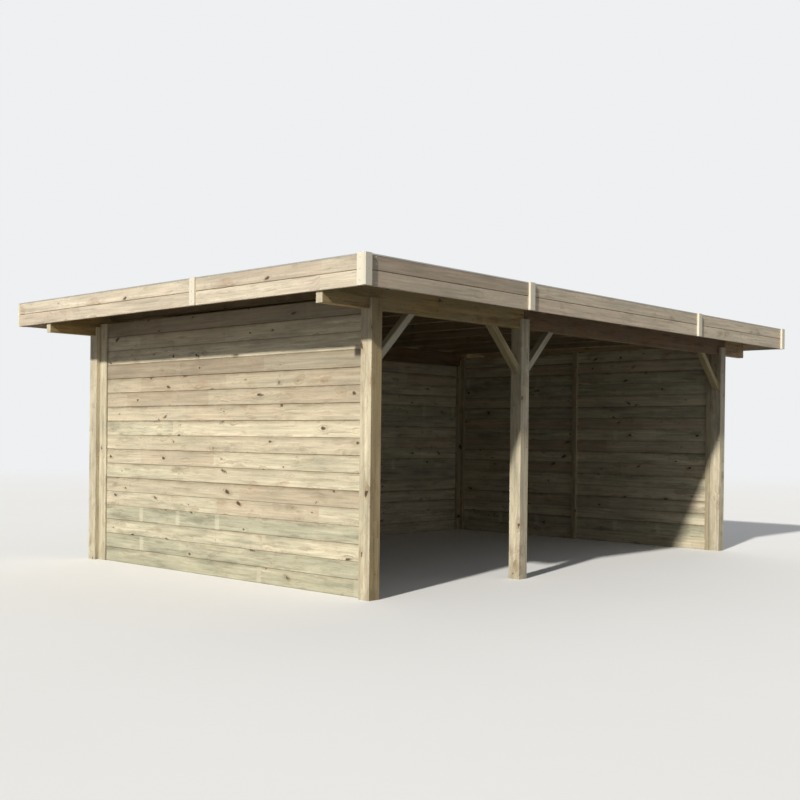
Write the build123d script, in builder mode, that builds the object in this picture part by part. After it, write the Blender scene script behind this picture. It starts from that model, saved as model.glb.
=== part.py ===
from build123d import *
from math import ceil, sqrt
import os

# Timber double carport with a flat roof, in millimetres.
# Origin: on the ground under the middle of the roof. +X runs to the right along
# the open front, +Y runs into the depth (the front faces -Y), +Z is up.

# Whole roof, over the corner trims
ROOF_WIDTH = 7000
ROOF_DEPTH = 5010
HEIGHT = 2600
SIDE_OVERHANG = 545
FRONT_OVERHANG = 468
BACK_OVERHANG = 507

# Posts and beams
POST = 120
LEFT_BAY = 1822
BEAM_THICK = 70
BEAM_DEPTH = 190
BEAM_GAP = 44
SLOT_DEPTH = 88
ARRIS = 3

# Knee braces, and the leg of their outer edge along post and beam
BRACE_WIDTH = 58
BRACE_THICK = 70
BRACE_LEG = 415

# Joists notched over the beams
JOIST_THICK = 60
JOIST_DEPTH = 110
JOIST_NOTCH = 26
JOIST_SPACING = 700

# Roof build-up
DECK_THICK = 18
DECK_BOARD = 120
MEMBRANE_THICK = 3
UPSTAND = 27

# Edge cap of folded metal, with a lip down the front of the fascia
CAP_THICK = 2
CAP_WIDTH = 45
CAP_LIP = 10
CAP_JOINT = 1

# Fascia of two equal boards, and the trims over its ends and joints
FASCIA_BOARD = 116
FASCIA_THICK = 21
TRIM_WIDTH = 70
TRIM_THICK = 22
FRONT_JOINT_LEFT = 2010
FRONT_JOINT_RIGHT = 4950
SIDE_JOINT = 2052

# Wall boards, and the studs that carry them
BOARD_COVER = 141
BOARD_THICK = 21
STUD_DEPTH = 38
STUD_WIDTH = 58
END_BOARD_WIDTH = 120
END_BOARD_THICK = 18
SIDE_WALL_GAP = 20

# Open joints between boards
VEE_WIDTH = 6
VEE_DEPTH = 3
TRIM_VEE = 2

# Levels, from the top down
FASCIA_TOP = HEIGHT - CAP_THICK
FASCIA_BOTTOM = FASCIA_TOP - 2 * FASCIA_BOARD
DECK_TOP = FASCIA_TOP - UPSTAND
DECK_BOTTOM = DECK_TOP - DECK_THICK
JOIST_UNDERSIDE = DECK_BOTTOM - JOIST_DEPTH
BEAM_TOP = JOIST_UNDERSIDE + JOIST_NOTCH
BEAM_UNDERSIDE = BEAM_TOP - BEAM_DEPTH
SIDE_WALL_ROWS = int((JOIST_UNDERSIDE - SIDE_WALL_GAP) / BOARD_COVER)
BACK_WALL_ROWS = round(BEAM_UNDERSIDE / BOARD_COVER)

# Plan: roof layers from outside to inside
TRIM_X, TRIM_Y = ROOF_WIDTH / 2, ROOF_DEPTH / 2
FASCIA_X, FASCIA_Y = TRIM_X - TRIM_THICK, TRIM_Y - TRIM_THICK
INNER_X, INNER_Y = FASCIA_X - FASCIA_THICK, FASCIA_Y - FASCIA_THICK

# Plan: outer faces of the post grid, then post centres
GRID_X = TRIM_X - SIDE_OVERHANG
GRID_FRONT = -TRIM_Y + FRONT_OVERHANG
GRID_BACK = TRIM_Y - BACK_OVERHANG
LEFT_POST_X = -GRID_X + POST / 2
MIDDLE_POST_X = -GRID_X + POST + LEFT_BAY + POST / 2
RIGHT_POST_X = GRID_X - POST / 2
FRONT_LINE_Y = GRID_FRONT + POST / 2
BACK_LINE_Y = GRID_BACK - POST / 2

os.makedirs("parts", exist_ok=True)


def keep(piece, name):
    """Label a finished piece and write it."""
    piece.part.label = name
    export_step(piece.part, f"parts/{name}.step")


def board_outline(outer, inner, edges, both_faces):
    """Outline of boards side by side, as (across, along) points with a vee at each joint.

    edges are the places along the wall where boards start and end, lowest first.
    """
    towards = 1 if inner > outer else -1
    seams = edges[1:-1]
    points = [(outer, edges[0])]
    for seam in seams:
        points += [
            (outer, seam - VEE_WIDTH / 2),
            (outer + towards * VEE_DEPTH, seam),
            (outer, seam + VEE_WIDTH / 2),
        ]
    points += [(outer, edges[-1]), (inner, edges[-1])]
    if both_faces:
        for seam in reversed(seams):
            points += [
                (inner, seam + VEE_WIDTH / 2),
                (inner - towards * VEE_DEPTH, seam),
                (inner, seam - VEE_WIDTH / 2),
            ]
    points.append((inner, edges[0]))
    return points


def even_edges(start, cover, rows):
    """Edges of like boards, each covering the same width."""
    return [start + cover * row for row in range(rows + 1)]


def boards_along_x(name, x0, x1, points):
    """Boards that run along X. The outline's points are (y, z)."""
    with BuildPart() as boards:
        with BuildSketch(Plane.YZ.offset(x0)):
            with BuildLine():
                Polyline(*points, close=True)
            make_face()
        extrude(amount=x1 - x0)
    keep(boards, name)


def boards_along_y(name, y0, y1, points):
    """Boards that run along Y. The outline's points are (x, z)."""
    with BuildPart() as boards:
        with BuildSketch(Plane.XZ.offset(-y0)):
            with BuildLine():
                Polyline(*points, close=True)
            make_face()
        extrude(amount=y0 - y1)
    keep(boards, name)


# Posts: square, with eased arrises, and forked at the top to hold the beam between
# two cheeks
POSTS = {
    "front_left_post": (LEFT_POST_X, FRONT_LINE_Y),
    "front_middle_post": (MIDDLE_POST_X, FRONT_LINE_Y),
    "front_right_post": (RIGHT_POST_X, FRONT_LINE_Y),
    "back_left_post": (LEFT_POST_X, BACK_LINE_Y),
    "back_middle_post": (MIDDLE_POST_X, BACK_LINE_Y),
    "back_right_post": (RIGHT_POST_X, BACK_LINE_Y),
}

for post_name, place in POSTS.items():
    with BuildPart() as post:
        with BuildSketch():
            with Locations(place):
                Rectangle(POST, POST)
        extrude(amount=BEAM_UNDERSIDE + SLOT_DEPTH)
        chamfer(post.edges().filter_by(Axis.Z), ARRIS)
        with BuildSketch(Plane.XY.offset(BEAM_UNDERSIDE)):
            with Locations(place):
                Rectangle(POST, BEAM_THICK)
        extrude(amount=SLOT_DEPTH, mode=Mode.SUBTRACT)
    keep(post, post_name)

# Beams: two lengths on each line, running out under the side overhangs to the back of
# the fascia, with an open joint between them in the fork of the middle post
BEAM_ENDS = {
    "left": (-INNER_X, MIDDLE_POST_X),
    "right": (MIDDLE_POST_X + BEAM_GAP, INNER_X),
}

for line_name, line_y in (("front", FRONT_LINE_Y), ("back", BACK_LINE_Y)):
    for end_name, (x0, x1) in BEAM_ENDS.items():
        with BuildPart() as beam:
            with BuildSketch(Plane.YZ.offset(x0)):
                with Locations((line_y, BEAM_UNDERSIDE + BEAM_DEPTH / 2)):
                    Rectangle(BEAM_THICK, BEAM_DEPTH)
            extrude(amount=x1 - x0)
            low_edges = beam.edges().filter_by(Axis.X).group_by(Axis.Z)[0]
            chamfer(low_edges, ARRIS)
        keep(beam, f"{line_name}_beam_{end_name}")

# Knee braces in the front line, from the posts up to the underside of the beam
BRACES = {
    "left_post_brace": (LEFT_POST_X + POST / 2, 1),
    "middle_post_brace_left": (MIDDLE_POST_X - POST / 2, -1),
    "middle_post_brace_right": (MIDDLE_POST_X + POST / 2, 1),
    "right_post_brace": (RIGHT_POST_X - POST / 2, -1),
}
BRACE_CUT = BRACE_WIDTH * sqrt(2)

for brace_name, (post_face, way) in BRACES.items():
    with BuildPart() as brace:
        with BuildSketch(Plane.XZ.offset(-(FRONT_LINE_Y + BRACE_THICK / 2))):
            with BuildLine():
                Polyline(
                    (post_face, BEAM_UNDERSIDE - BRACE_LEG),
                    (post_face + way * BRACE_LEG, BEAM_UNDERSIDE),
                    (post_face + way * (BRACE_LEG - BRACE_CUT), BEAM_UNDERSIDE),
                    (post_face, BEAM_UNDERSIDE - BRACE_LEG + BRACE_CUT),
                    close=True,
                )
            make_face()
        extrude(amount=BRACE_THICK)
        chamfer(brace.edges().filter_by(Axis((0, 0, 0), (way, 0, 1))), ARRIS)
    keep(brace, brace_name)

# Joists: from front fascia to back fascia, notched down over both beams
JOIST_RUN = 2 * INNER_X - JOIST_THICK
JOIST_BAYS = ceil(JOIST_RUN / JOIST_SPACING)

with BuildPart() as joists:
    with BuildSketch(Plane.XY.offset(JOIST_UNDERSIDE)):
        with GridLocations(JOIST_RUN / JOIST_BAYS, 0, JOIST_BAYS + 1, 1):
            Rectangle(JOIST_THICK, 2 * INNER_Y)
    extrude(amount=DECK_BOTTOM - JOIST_UNDERSIDE)
    with BuildSketch(Plane.XY.offset(JOIST_UNDERSIDE)):
        with Locations((0, FRONT_LINE_Y), (0, BACK_LINE_Y)):
            Rectangle(2 * INNER_X, BEAM_THICK)
    extrude(amount=JOIST_NOTCH, mode=Mode.SUBTRACT)
keep(joists, "roof_joists")

# Roof deck: boards along X on the joists, with vee joints on the side seen from below
DECK_ROWS = round(2 * INNER_Y / DECK_BOARD)
deck_edges = even_edges(-INNER_Y, 2 * INNER_Y / DECK_ROWS, DECK_ROWS)
deck_points = board_outline(DECK_BOTTOM, DECK_TOP, deck_edges, False)
boards_along_x("roof_deck", -INNER_X, INNER_X, [(along, across) for across, along in deck_points])

# Roof membrane: a shallow tray, turned up behind the fascia
with BuildPart() as membrane:
    with BuildSketch(Plane.XY.offset(DECK_TOP)):
        Rectangle(2 * INNER_X, 2 * INNER_Y)
    extrude(amount=UPSTAND)
    tray_top = membrane.faces().sort_by(Axis.Z)[-1]
    offset(amount=-MEMBRANE_THICK, openings=tray_top)
keep(membrane, "roof_membrane")

# Fascia: front and back in three lengths, the sides in two, butted under the cover strips
FRONT_JOINTS = (-TRIM_X + FRONT_JOINT_LEFT, -TRIM_X + FRONT_JOINT_RIGHT)
SIDE_JOINT_Y = -TRIM_Y + SIDE_JOINT
FRONT_STARTS = (-FASCIA_X, *FRONT_JOINTS)
FRONT_ENDS = (*FRONT_JOINTS, FASCIA_X)
FASCIA_EDGES = even_edges(FASCIA_BOTTOM, FASCIA_BOARD, 2)

for side_name, side in (("front", -1), ("back", 1)):
    fascia_points = board_outline(side * FASCIA_Y, side * INNER_Y, FASCIA_EDGES, False)
    for part_name, x0, x1 in zip(("left", "middle", "right"), FRONT_STARTS, FRONT_ENDS):
        boards_along_x(f"{side_name}_fascia_{part_name}", x0, x1, fascia_points)

for side_name, side in (("left", -1), ("right", 1)):
    fascia_points = board_outline(side * FASCIA_X, side * INNER_X, FASCIA_EDGES, False)
    boards_along_y(f"{side_name}_fascia_front", -INNER_Y, SIDE_JOINT_Y, fascia_points)
    boards_along_y(f"{side_name}_fascia_back", SIDE_JOINT_Y, INNER_Y, fascia_points)

# Edge cap: folded metal on the fascia and the turned-up membrane, with an open joint at
# each corner, and a lip that is cut away at the trims and strips. The back length has
# its lip folded round the corners too.
def lip_lengths(start, joints, end):
    """Middle and length of each stretch of lip between two trims or strips."""
    starts = [start, *(joint + TRIM_WIDTH / 2 for joint in joints)]
    ends = [*(joint - TRIM_WIDTH / 2 for joint in joints), end]
    return [((a + b) / 2, b - a - 2 * CAP_JOINT) for a, b in zip(starts, ends)]


FRONT_LIPS = lip_lengths(-TRIM_X + TRIM_WIDTH, FRONT_JOINTS, TRIM_X - TRIM_WIDTH)
BACK_LIPS = lip_lengths(-FASCIA_X + TRIM_WIDTH, FRONT_JOINTS, FASCIA_X - TRIM_WIDTH)
SIDE_LIPS = lip_lengths(-FASCIA_Y + TRIM_WIDTH, [SIDE_JOINT_Y], FASCIA_Y - CAP_WIDTH)
LIP_X, LIP_Y = FASCIA_X + CAP_THICK / 2, FASCIA_Y + CAP_THICK / 2

with BuildPart() as edge_cap:
    with BuildSketch(Plane.XY.offset(FASCIA_TOP)):
        with Locations((0, -FASCIA_Y + CAP_WIDTH / 2), (0, FASCIA_Y - CAP_WIDTH / 2)):
            Rectangle(2 * FASCIA_X, CAP_WIDTH)
        with Locations((-FASCIA_X + CAP_WIDTH / 2, 0), (FASCIA_X - CAP_WIDTH / 2, 0)):
            Rectangle(CAP_WIDTH, 2 * (FASCIA_Y - CAP_WIDTH - CAP_JOINT))
    extrude(amount=CAP_THICK)
    with BuildSketch(Plane.XY.offset(HEIGHT)):
        for lip_y, lips in ((-LIP_Y, FRONT_LIPS), (LIP_Y, BACK_LIPS)):
            for middle, length in lips:
                with Locations((middle, lip_y)):
                    Rectangle(length, CAP_THICK)
        for middle, length in SIDE_LIPS:
            with Locations((-LIP_X, middle), (LIP_X, middle)):
                Rectangle(CAP_THICK, length)
        with Locations((-LIP_X, FASCIA_Y - CAP_WIDTH / 2), (LIP_X, FASCIA_Y - CAP_WIDTH / 2)):
            Rectangle(CAP_THICK, CAP_WIDTH)
    extrude(amount=-CAP_LIP)
keep(edge_cap, "roof_edge_cap")

# Front corner trims: two boards, the one across the front covering the other's edge
TRIM_HEIGHT = HEIGHT - FASCIA_BOTTOM
TRIM_MID_X, TRIM_MID_Y = TRIM_X - TRIM_THICK / 2, TRIM_Y - TRIM_THICK / 2

for side_name, side in (("left", -1), ("right", 1)):
    corner = [
        (0, 0),
        (TRIM_WIDTH, 0),
        (TRIM_WIDTH, TRIM_THICK),
        (TRIM_THICK, TRIM_THICK),
        (TRIM_THICK, TRIM_THICK + TRIM_WIDTH),
        (0, TRIM_THICK + TRIM_WIDTH),
        (0, TRIM_THICK + TRIM_VEE / 2),
        (TRIM_VEE, TRIM_THICK),
        (0, TRIM_THICK - TRIM_VEE / 2),
    ]
    with BuildPart() as trim:
        with BuildSketch(Plane.XY.offset(FASCIA_BOTTOM)):
            with BuildLine():
                Polyline(*[(side * (TRIM_X - x), y - TRIM_Y) for x, y in corner], close=True)
            make_face()
        extrude(amount=TRIM_HEIGHT)
    keep(trim, f"front_{side_name}_corner_trim")

# Back corner trims: one board over each end of the back fascia, flush with the side
for side_name, side in (("left", -1), ("right", 1)):
    with BuildPart() as trim:
        with BuildSketch(Plane.XY.offset(FASCIA_BOTTOM)):
            with Locations((side * (FASCIA_X - TRIM_WIDTH / 2), TRIM_MID_Y)):
                Rectangle(TRIM_WIDTH, TRIM_THICK)
        extrude(amount=TRIM_HEIGHT)
    keep(trim, f"back_{side_name}_corner_trim")

# Cover strips over the fascia joints
for side_name, side in (("front", -1), ("back", 1)):
    with BuildPart() as strips:
        with BuildSketch(Plane.XY.offset(FASCIA_BOTTOM)):
            with Locations(*[(joint, side * TRIM_MID_Y) for joint in FRONT_JOINTS]):
                Rectangle(TRIM_WIDTH, TRIM_THICK)
        extrude(amount=TRIM_HEIGHT)
    keep(strips, f"{side_name}_cover_strips")

for side_name, side in (("left", -1), ("right", 1)):
    with BuildPart() as strip:
        with BuildSketch(Plane.XY.offset(FASCIA_BOTTOM)):
            with Locations((side * TRIM_MID_X, SIDE_JOINT_Y)):
                Rectangle(TRIM_THICK, TRIM_WIDTH)
        extrude(amount=TRIM_HEIGHT)
    keep(strip, f"{side_name}_cover_strip")

# Side walls: boards between the corner posts, nailed from outside on studs that are
# flush with the inside of the posts, with an end board over their back ends
SIDE_WALL_TOP = SIDE_WALL_ROWS * BOARD_COVER
WALL_Y0, WALL_Y1 = GRID_FRONT + POST, GRID_BACK - POST
STUD_OUTER = POST - STUD_DEPTH
BOARD_OUTER = STUD_OUTER - BOARD_THICK

for side_name, side in (("left", -1), ("right", 1)):
    board_face = side * (GRID_X - BOARD_OUTER)
    stud_face = side * (GRID_X - STUD_OUTER)
    wall_edges = even_edges(0, BOARD_COVER, SIDE_WALL_ROWS)
    wall_points = board_outline(board_face, stud_face, wall_edges, True)
    boards_along_y(f"{side_name}_wall_boards", WALL_Y0, WALL_Y1, wall_points)

    with BuildPart() as studs:
        with BuildSketch():
            with Locations((side * (GRID_X - POST + STUD_DEPTH / 2), (WALL_Y0 + WALL_Y1) / 2)):
                with GridLocations(0, (WALL_Y1 - WALL_Y0 - STUD_WIDTH) / 2, 1, 3):
                    Rectangle(STUD_DEPTH, STUD_WIDTH)
        extrude(amount=SIDE_WALL_TOP)
    keep(studs, f"{side_name}_wall_studs")

    with BuildPart() as end_board:
        with BuildSketch():
            with Locations((board_face + side * END_BOARD_THICK / 2, WALL_Y1 - END_BOARD_WIDTH / 2)):
                Rectangle(END_BOARD_THICK, END_BOARD_WIDTH)
        extrude(amount=SIDE_WALL_TOP)
    keep(end_board, f"{side_name}_wall_end_board")

# Back wall: the same boards and studs in the two bays, spread evenly up to the back beam
BACK_BAYS = {
    "left": (LEFT_POST_X + POST / 2, MIDDLE_POST_X - POST / 2),
    "right": (MIDDLE_POST_X + POST / 2, RIGHT_POST_X - POST / 2),
}
back_edges = even_edges(0, BEAM_UNDERSIDE / BACK_WALL_ROWS, BACK_WALL_ROWS)
back_points = board_outline(GRID_BACK - BOARD_OUTER, GRID_BACK - STUD_OUTER, back_edges, True)

for bay_name, (x0, x1) in BACK_BAYS.items():
    boards_along_x(f"back_wall_boards_{bay_name}", x0, x1, back_points)

with BuildPart() as studs:
    with BuildSketch():
        for x0, x1 in BACK_BAYS.values():
            with Locations(((x0 + x1) / 2, GRID_BACK - POST + STUD_DEPTH / 2)):
                with GridLocations((x1 - x0 - STUD_WIDTH) / 2, 0, 3, 1):
                    Rectangle(STUD_WIDTH, STUD_DEPTH)
    extrude(amount=BEAM_UNDERSIDE)
keep(studs, "back_wall_studs")
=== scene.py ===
import math
import random

import bmesh
import bpy
from bpy.props import BoolProperty, FloatProperty, FloatVectorProperty, IntProperty, PointerProperty
from mathutils import Matrix, Vector


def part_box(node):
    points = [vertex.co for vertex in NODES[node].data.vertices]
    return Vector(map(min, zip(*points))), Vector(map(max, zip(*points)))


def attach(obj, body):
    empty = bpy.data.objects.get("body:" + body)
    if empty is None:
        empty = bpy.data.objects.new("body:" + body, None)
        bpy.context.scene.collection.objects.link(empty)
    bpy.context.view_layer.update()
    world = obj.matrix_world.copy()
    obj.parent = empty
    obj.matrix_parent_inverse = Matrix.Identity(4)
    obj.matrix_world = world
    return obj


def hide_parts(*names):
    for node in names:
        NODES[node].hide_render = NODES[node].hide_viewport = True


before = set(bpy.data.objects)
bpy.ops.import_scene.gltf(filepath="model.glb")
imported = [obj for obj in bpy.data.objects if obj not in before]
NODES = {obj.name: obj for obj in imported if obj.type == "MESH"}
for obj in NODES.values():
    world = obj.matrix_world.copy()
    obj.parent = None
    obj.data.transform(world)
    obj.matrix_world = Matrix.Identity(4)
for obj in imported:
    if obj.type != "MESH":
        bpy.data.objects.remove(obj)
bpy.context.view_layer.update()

bl_info = {
    "name": "Timber Carport",
    "version": (1, 0, 0),
    "blender": (4, 5, 0),
    "location": "View3D > Sidebar > Carport",
    "description": "Boards, timber finishes, roofing and fixings of a flat-roofed timber carport",
    "category": "Add Mesh",
}

BODY = "root"
GOLDEN_SHARE = 0.618034
NODE_SPACING = 190

POST_NODES = (
    "front_left_post",
    "front_middle_post",
    "front_right_post",
    "back_left_post",
    "back_middle_post",
    "back_right_post",
)
BEAM_NODES = ("front_beam_left", "front_beam_right", "back_beam_left", "back_beam_right")
RISING_BRACES = ("left_post_brace", "middle_post_brace_right")
FALLING_BRACES = ("middle_post_brace_left", "right_post_brace")
STUD_NODES = ("left_wall_studs", "right_wall_studs", "back_wall_studs")
END_BOARD_NODES = ("left_wall_end_board", "right_wall_end_board")
FRONT_FASCIAS = (
    "front_fascia_left",
    "front_fascia_middle",
    "front_fascia_right",
    "back_fascia_left",
    "back_fascia_middle",
    "back_fascia_right",
)
SIDE_FASCIAS = (
    "left_fascia_front",
    "left_fascia_back",
    "right_fascia_front",
    "right_fascia_back",
)
CORNER_TRIMS = ("front_left_corner_trim", "front_right_corner_trim")
STRIP_NODES = (
    "back_left_corner_trim",
    "back_right_corner_trim",
    "front_cover_strips",
    "back_cover_strips",
    "left_cover_strip",
    "right_cover_strip",
)


# Settings that a user would change


def length_setting(name, default, description):
    return FloatProperty(name=name, description=description, default=default, unit="LENGTH")


def colour_setting(name, default, description):
    return FloatVectorProperty(name=name, description=description, default=default, subtype="COLOR")


class CarportBoardSettings(bpy.types.PropertyGroup):
    cover: length_setting("Board cover", 0.141, "Height of wall that one tongue and groove board covers")
    vee: length_setting("Vee", 0.0045, "Width of the chamfer along each long edge of a wall board")
    gap: length_setting("Joint gap", 0.0022, "Widest gap that drying has opened between two boards")
    tongue: length_setting("Tongue height", 0.008, "How far the tongue reaches into the board above")
    wander: length_setting("Wander", 0.0007, "How far a board may stand in front of or behind its neighbours")
    round_over: length_setting("Rounded edge", 0.0022, "Width of the rounded edges of trims and planks")
    deck_board: length_setting("Deck board width", 0.12, "Width of one board of the roof deck")


class CarportTimberSettings(bpy.types.PropertyGroup):
    cream: colour_setting("Cream timber", (0.77, 0.695, 0.505), "Colour of fresh pale softwood")
    green: colour_setting(
        "Green timber", (0.575, 0.555, 0.40), "Colour of boards that took up more preservative"
    )
    rosy: colour_setting("Rosy timber", (0.66, 0.55, 0.395), "Colour of the pinkish heartwood boards")
    late_wood: colour_setting("Late wood", (0.40, 0.29, 0.17), "Colour of the darker lines of the grain")
    knot: colour_setting("Knot", (0.065, 0.040, 0.018), "Colour of the dark rim of a knot")
    knot_ring: colour_setting(
        "Knot halo", (0.38, 0.25, 0.145), "Colour of the resinous wood in and round a knot"
    )
    damp: length_setting(
        "Damp height", 0.16, "Height over which the foot of the timber is darkened by splashes"
    )


class CarportRoofSettings(bpy.types.PropertyGroup):
    felt: colour_setting("Felt", (0.055, 0.057, 0.06), "Colour of the mineral faced roofing felt")
    felt_width: length_setting("Felt width", 0.92, "Width of one strip of felt without its lap")
    felt_lap: length_setting("Felt lap", 0.08, "How far one strip of felt covers the next")
    metal: colour_setting("Edge metal", (0.46, 0.44, 0.40), "Colour of the folded edge cap")


class CarportFixingSettings(bpy.types.PropertyGroup):
    screw_head: length_setting(
        "Screw head", 0.0045, "Radius of the countersunk screws in trims, braces and fascia"
    )
    nail_head: length_setting("Nail head", 0.0025, "Radius of the wall board nails")
    head_rise: length_setting("Head rise", 0.0006, "How far a screw head stands out of the timber")
    seed: IntProperty(
        name="Seed",
        description="Picks the turn of each screw",
        default=7,
    )


class CarportStageSettings(bpy.types.PropertyGroup):
    floor: colour_setting("Floor", (0.88, 0.88, 0.875), "Colour of the studio floor")
    floor_bounce: FloatProperty(
        name="Floor bounce",
        description="Share of the light that the floor throws back at the carport, as dull paving would",
        default=0.22,
    )
    backdrop: colour_setting("Backdrop", (0.86, 0.87, 0.88), "Colour that the camera sees behind the floor")
    sky_light: FloatProperty(
        name="Sky light",
        description="Strength of the even light from all round",
        default=0.27,
    )
    key_light: FloatProperty(
        name="Key light",
        description="Strength of the soft light from the left",
        default=3.5,
    )
    fill_light: FloatProperty(
        name="Fill light",
        description="Strength of the broad weak light on the far sides",
        default=0.75,
    )
    show_floor: BoolProperty(
        name="Show floor",
        description="Lay the studio floor under the carport",
        default=True,
    )


# Node trees


class Wiring:
    """Adds nodes to a tree and joins them up, from left to right."""

    def __init__(self, tree):
        self.tree = tree
        self.column = 0

    def node(self, kind, values=None, **settings):
        """A node of a kind. values fills its sockets, by name or number, with plain values or outputs."""
        node = self.tree.nodes.new(kind)
        node.location = (self.column * NODE_SPACING, 0)
        self.column += 1
        for key, value in settings.items():
            setattr(node, key, value)
        for key, value in (values or {}).items():
            self.fill(node.inputs[key], value)
        return node

    def fill(self, socket, value):
        if isinstance(value, bpy.types.NodeSocket):
            self.tree.links.new(value, socket)
        else:
            socket.default_value = value

    def math(self, operation, *values, clamp=False):
        node = self.node("ShaderNodeMath", operation=operation, use_clamp=clamp)
        for number, value in enumerate(values):
            self.fill(node.inputs[number], value)
        return node.outputs[0]

    def chain(self, operation, first, *others):
        for other in others:
            first = self.math(operation, first, other)
        return first

    def times(self, *values):
        return self.chain("MULTIPLY", *values)

    def plus(self, *values):
        return self.chain("ADD", *values)

    def minus(self, *values):
        return self.chain("SUBTRACT", *values)

    def sway(self, noise, reach):
        """How far a noise strays from its middle, as a share of a reach."""
        return self.times(self.minus(noise, 0.5), reach)

    def part(self, value):
        """What is left of a value past its last whole number."""
        return self.math("FRACT", value)

    def redraw(self, number, factor):
        """Another random number made from one, by a factor that isn't whole."""
        return self.part(self.times(number, factor))

    def lot(self, number):
        """A random number for each whole number."""
        return self.node("ShaderNodeTexWhiteNoise", {"W": number}, noise_dimensions="1D").outputs["Value"]

    def lot_between(self, low, high, seed):
        """A random number for each point of a geometry."""
        return self.node("FunctionNodeRandomValue", {2: low, 3: high, "Seed": seed}).outputs[1]

    def vector(self, operation, *values, scale=None):
        node = self.node("ShaderNodeVectorMath", operation=operation)
        for number, value in enumerate(values):
            self.fill(node.inputs[number], value)
        if scale is not None:
            self.fill(node.inputs["Scale"], scale)
        return node.outputs["Value" if operation == "LENGTH" else "Vector"]

    def split(self, vector):
        node = self.node("ShaderNodeSeparateXYZ", {0: vector})
        return node.outputs[0], node.outputs[1], node.outputs[2]

    def join(self, x, y, z):
        return self.node("ShaderNodeCombineXYZ", {0: x, 1: y, 2: z}).outputs[0]

    def spread(self, value, low, high, to_low=0.0, to_high=1.0, smooth=False):
        """Maps a range of values to another one, with no overshoot."""
        kind = "SMOOTHSTEP" if smooth else "LINEAR"
        sockets = {"Value": value, "From Min": low, "From Max": high, "To Min": to_low, "To Max": to_high}
        return self.node("ShaderNodeMapRange", sockets, interpolation_type=kind).outputs[0]

    def crest(self, value, start, peak, end):
        """Rises gently from start to peak, and falls away to nothing at the end."""
        rise = self.spread(value, start, peak, smooth=True)
        return self.times(rise, self.spread(value, peak, end, 1.0, 0.0))

    def mix(self, factor, first, second, blend="MIX"):
        sockets = {0: factor, 6: first, 7: second}
        return self.node("ShaderNodeMix", sockets, data_type="RGBA", blend_type=blend).outputs[2]

    def tinted(self, first, second):
        return self.mix(1.0, first, second, blend="MULTIPLY")

    def noise(self, vector, scale, detail=2.0, roughness=0.5, dimensions="3D"):
        sockets = {
            "W" if dimensions == "1D" else "Vector": vector,
            "Scale": scale,
            "Detail": detail,
            "Roughness": roughness,
        }
        return self.node("ShaderNodeTexNoise", sockets, noise_dimensions=dimensions).outputs[0]


def opaque(colour):
    """A colour property as the four numbers that a colour socket takes."""
    return (*colour, 1.0)


def new_group(name, inputs, outputs, kind="ShaderNodeTree"):
    """An empty group with named sockets, each given as (kind, name) or (kind, name, default)."""
    group = bpy.data.node_groups.new(name, kind)
    for socket_type, label, *default in inputs:
        socket = group.interface.new_socket(name=label, in_out="INPUT", socket_type=socket_type)
        if default:
            socket.default_value = default[0]
    for socket_type, label in outputs:
        group.interface.new_socket(name=label, in_out="OUTPUT", socket_type=socket_type)
    wiring = Wiring(group)
    start = wiring.node("NodeGroupInput")
    end = wiring.node("NodeGroupOutput")
    return group, wiring, start.outputs, end


def new_material(name):
    """A node material, with its wiring, its shader and the place on the object."""
    material = bpy.data.materials.new(name)
    material.use_nodes = True
    wiring = Wiring(material.node_tree)
    place = wiring.node("ShaderNodeTexCoord").outputs["Object"]
    return material, wiring, material.node_tree.nodes["Principled BSDF"], place


def wire_surface(w, shader, colour, rough, height=None, strength=0.6):
    """Joins colour, roughness and any relief, in metres, to the shader."""
    w.fill(shader.inputs["Base Color"], colour)
    w.fill(shader.inputs["Roughness"], rough)
    if height is not None:
        bump = w.node("ShaderNodeBump", {"Height": height, "Distance": 1.0, "Strength": strength})
        w.fill(shader.inputs["Normal"], bump.outputs[0])


# Timber finishes

# Sizes in the timber, in metres
KNOT_CELL = 0.09
YEAR_RING = 0.0055
RING_BAND = 0.021
PITH_SPACING = 0.19
CUT_END_RING = 0.0045
CUT_END_SPACING = 0.15
SPACER_STEP = 0.6
# How much longer along the grain the cells of the knots are
KNOT_STRETCH = 0.55
# How far apart in the tree the boards are cut, along it and across it
TREE_SHIFT = (37.1, 5.3)

# Turns that lay the grain along a CAD solid
QUARTER = math.pi / 2
ALONG_X = (0.0, 0.0, 0.0)
ALONG_Y = (0.0, 0.0, -QUARTER)
ALONG_Z = (0.0, QUARTER, 0.0)
RISING = (0.0, QUARTER / 2, 0.0)
FALLING = (0.0, -QUARTER / 2, 0.0)
# Where the beams run on beyond the corner posts, and how soon the painted light on their ends has come in
# there
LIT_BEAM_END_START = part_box("front_right_post")[1].x
LIT_BEAM_END_FADE = 0.06

# Colours of stain, dirt and resin, and of the painted shade under a board's lip
SMOKY_GRAIN = (0.27, 0.215, 0.135, 1.0)
GREEN_SMEAR = (0.27, 0.265, 0.19, 1.0)
DARK_DASH = (0.16, 0.10, 0.055, 1.0)
SPACER_BAR = (0.76, 0.71, 0.53, 1.0)
GREEN_RESIN = (0.33, 0.315, 0.215, 1.0)
BENT_LINE = (0.25, 0.195, 0.115, 1.0)
PALER = (1.24, 1.24, 1.2, 1.0)
DARK_HEART = (0.075, 0.045, 0.022, 1.0)
BROWN_HEART = (0.25, 0.16, 0.085, 1.0)
CUT_END_DIRT = (0.33, 0.27, 0.17, 1.0)
SPLASHES = (0.30, 0.285, 0.17, 1.0)
GREYED = (0.36, 0.345, 0.28, 1.0)
JOINT_DIRT = (0.12, 0.08, 0.042, 1.0)
# Painted shade under the lip of the board above
LIP_PAINTED_SHADE = (0.27, 0.20, 0.11, 1.0)
PALE_WASH = (0.93, 0.89, 0.76, 1.0)
WHITE = (1.0, 1.0, 1.0, 1.0)


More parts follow.
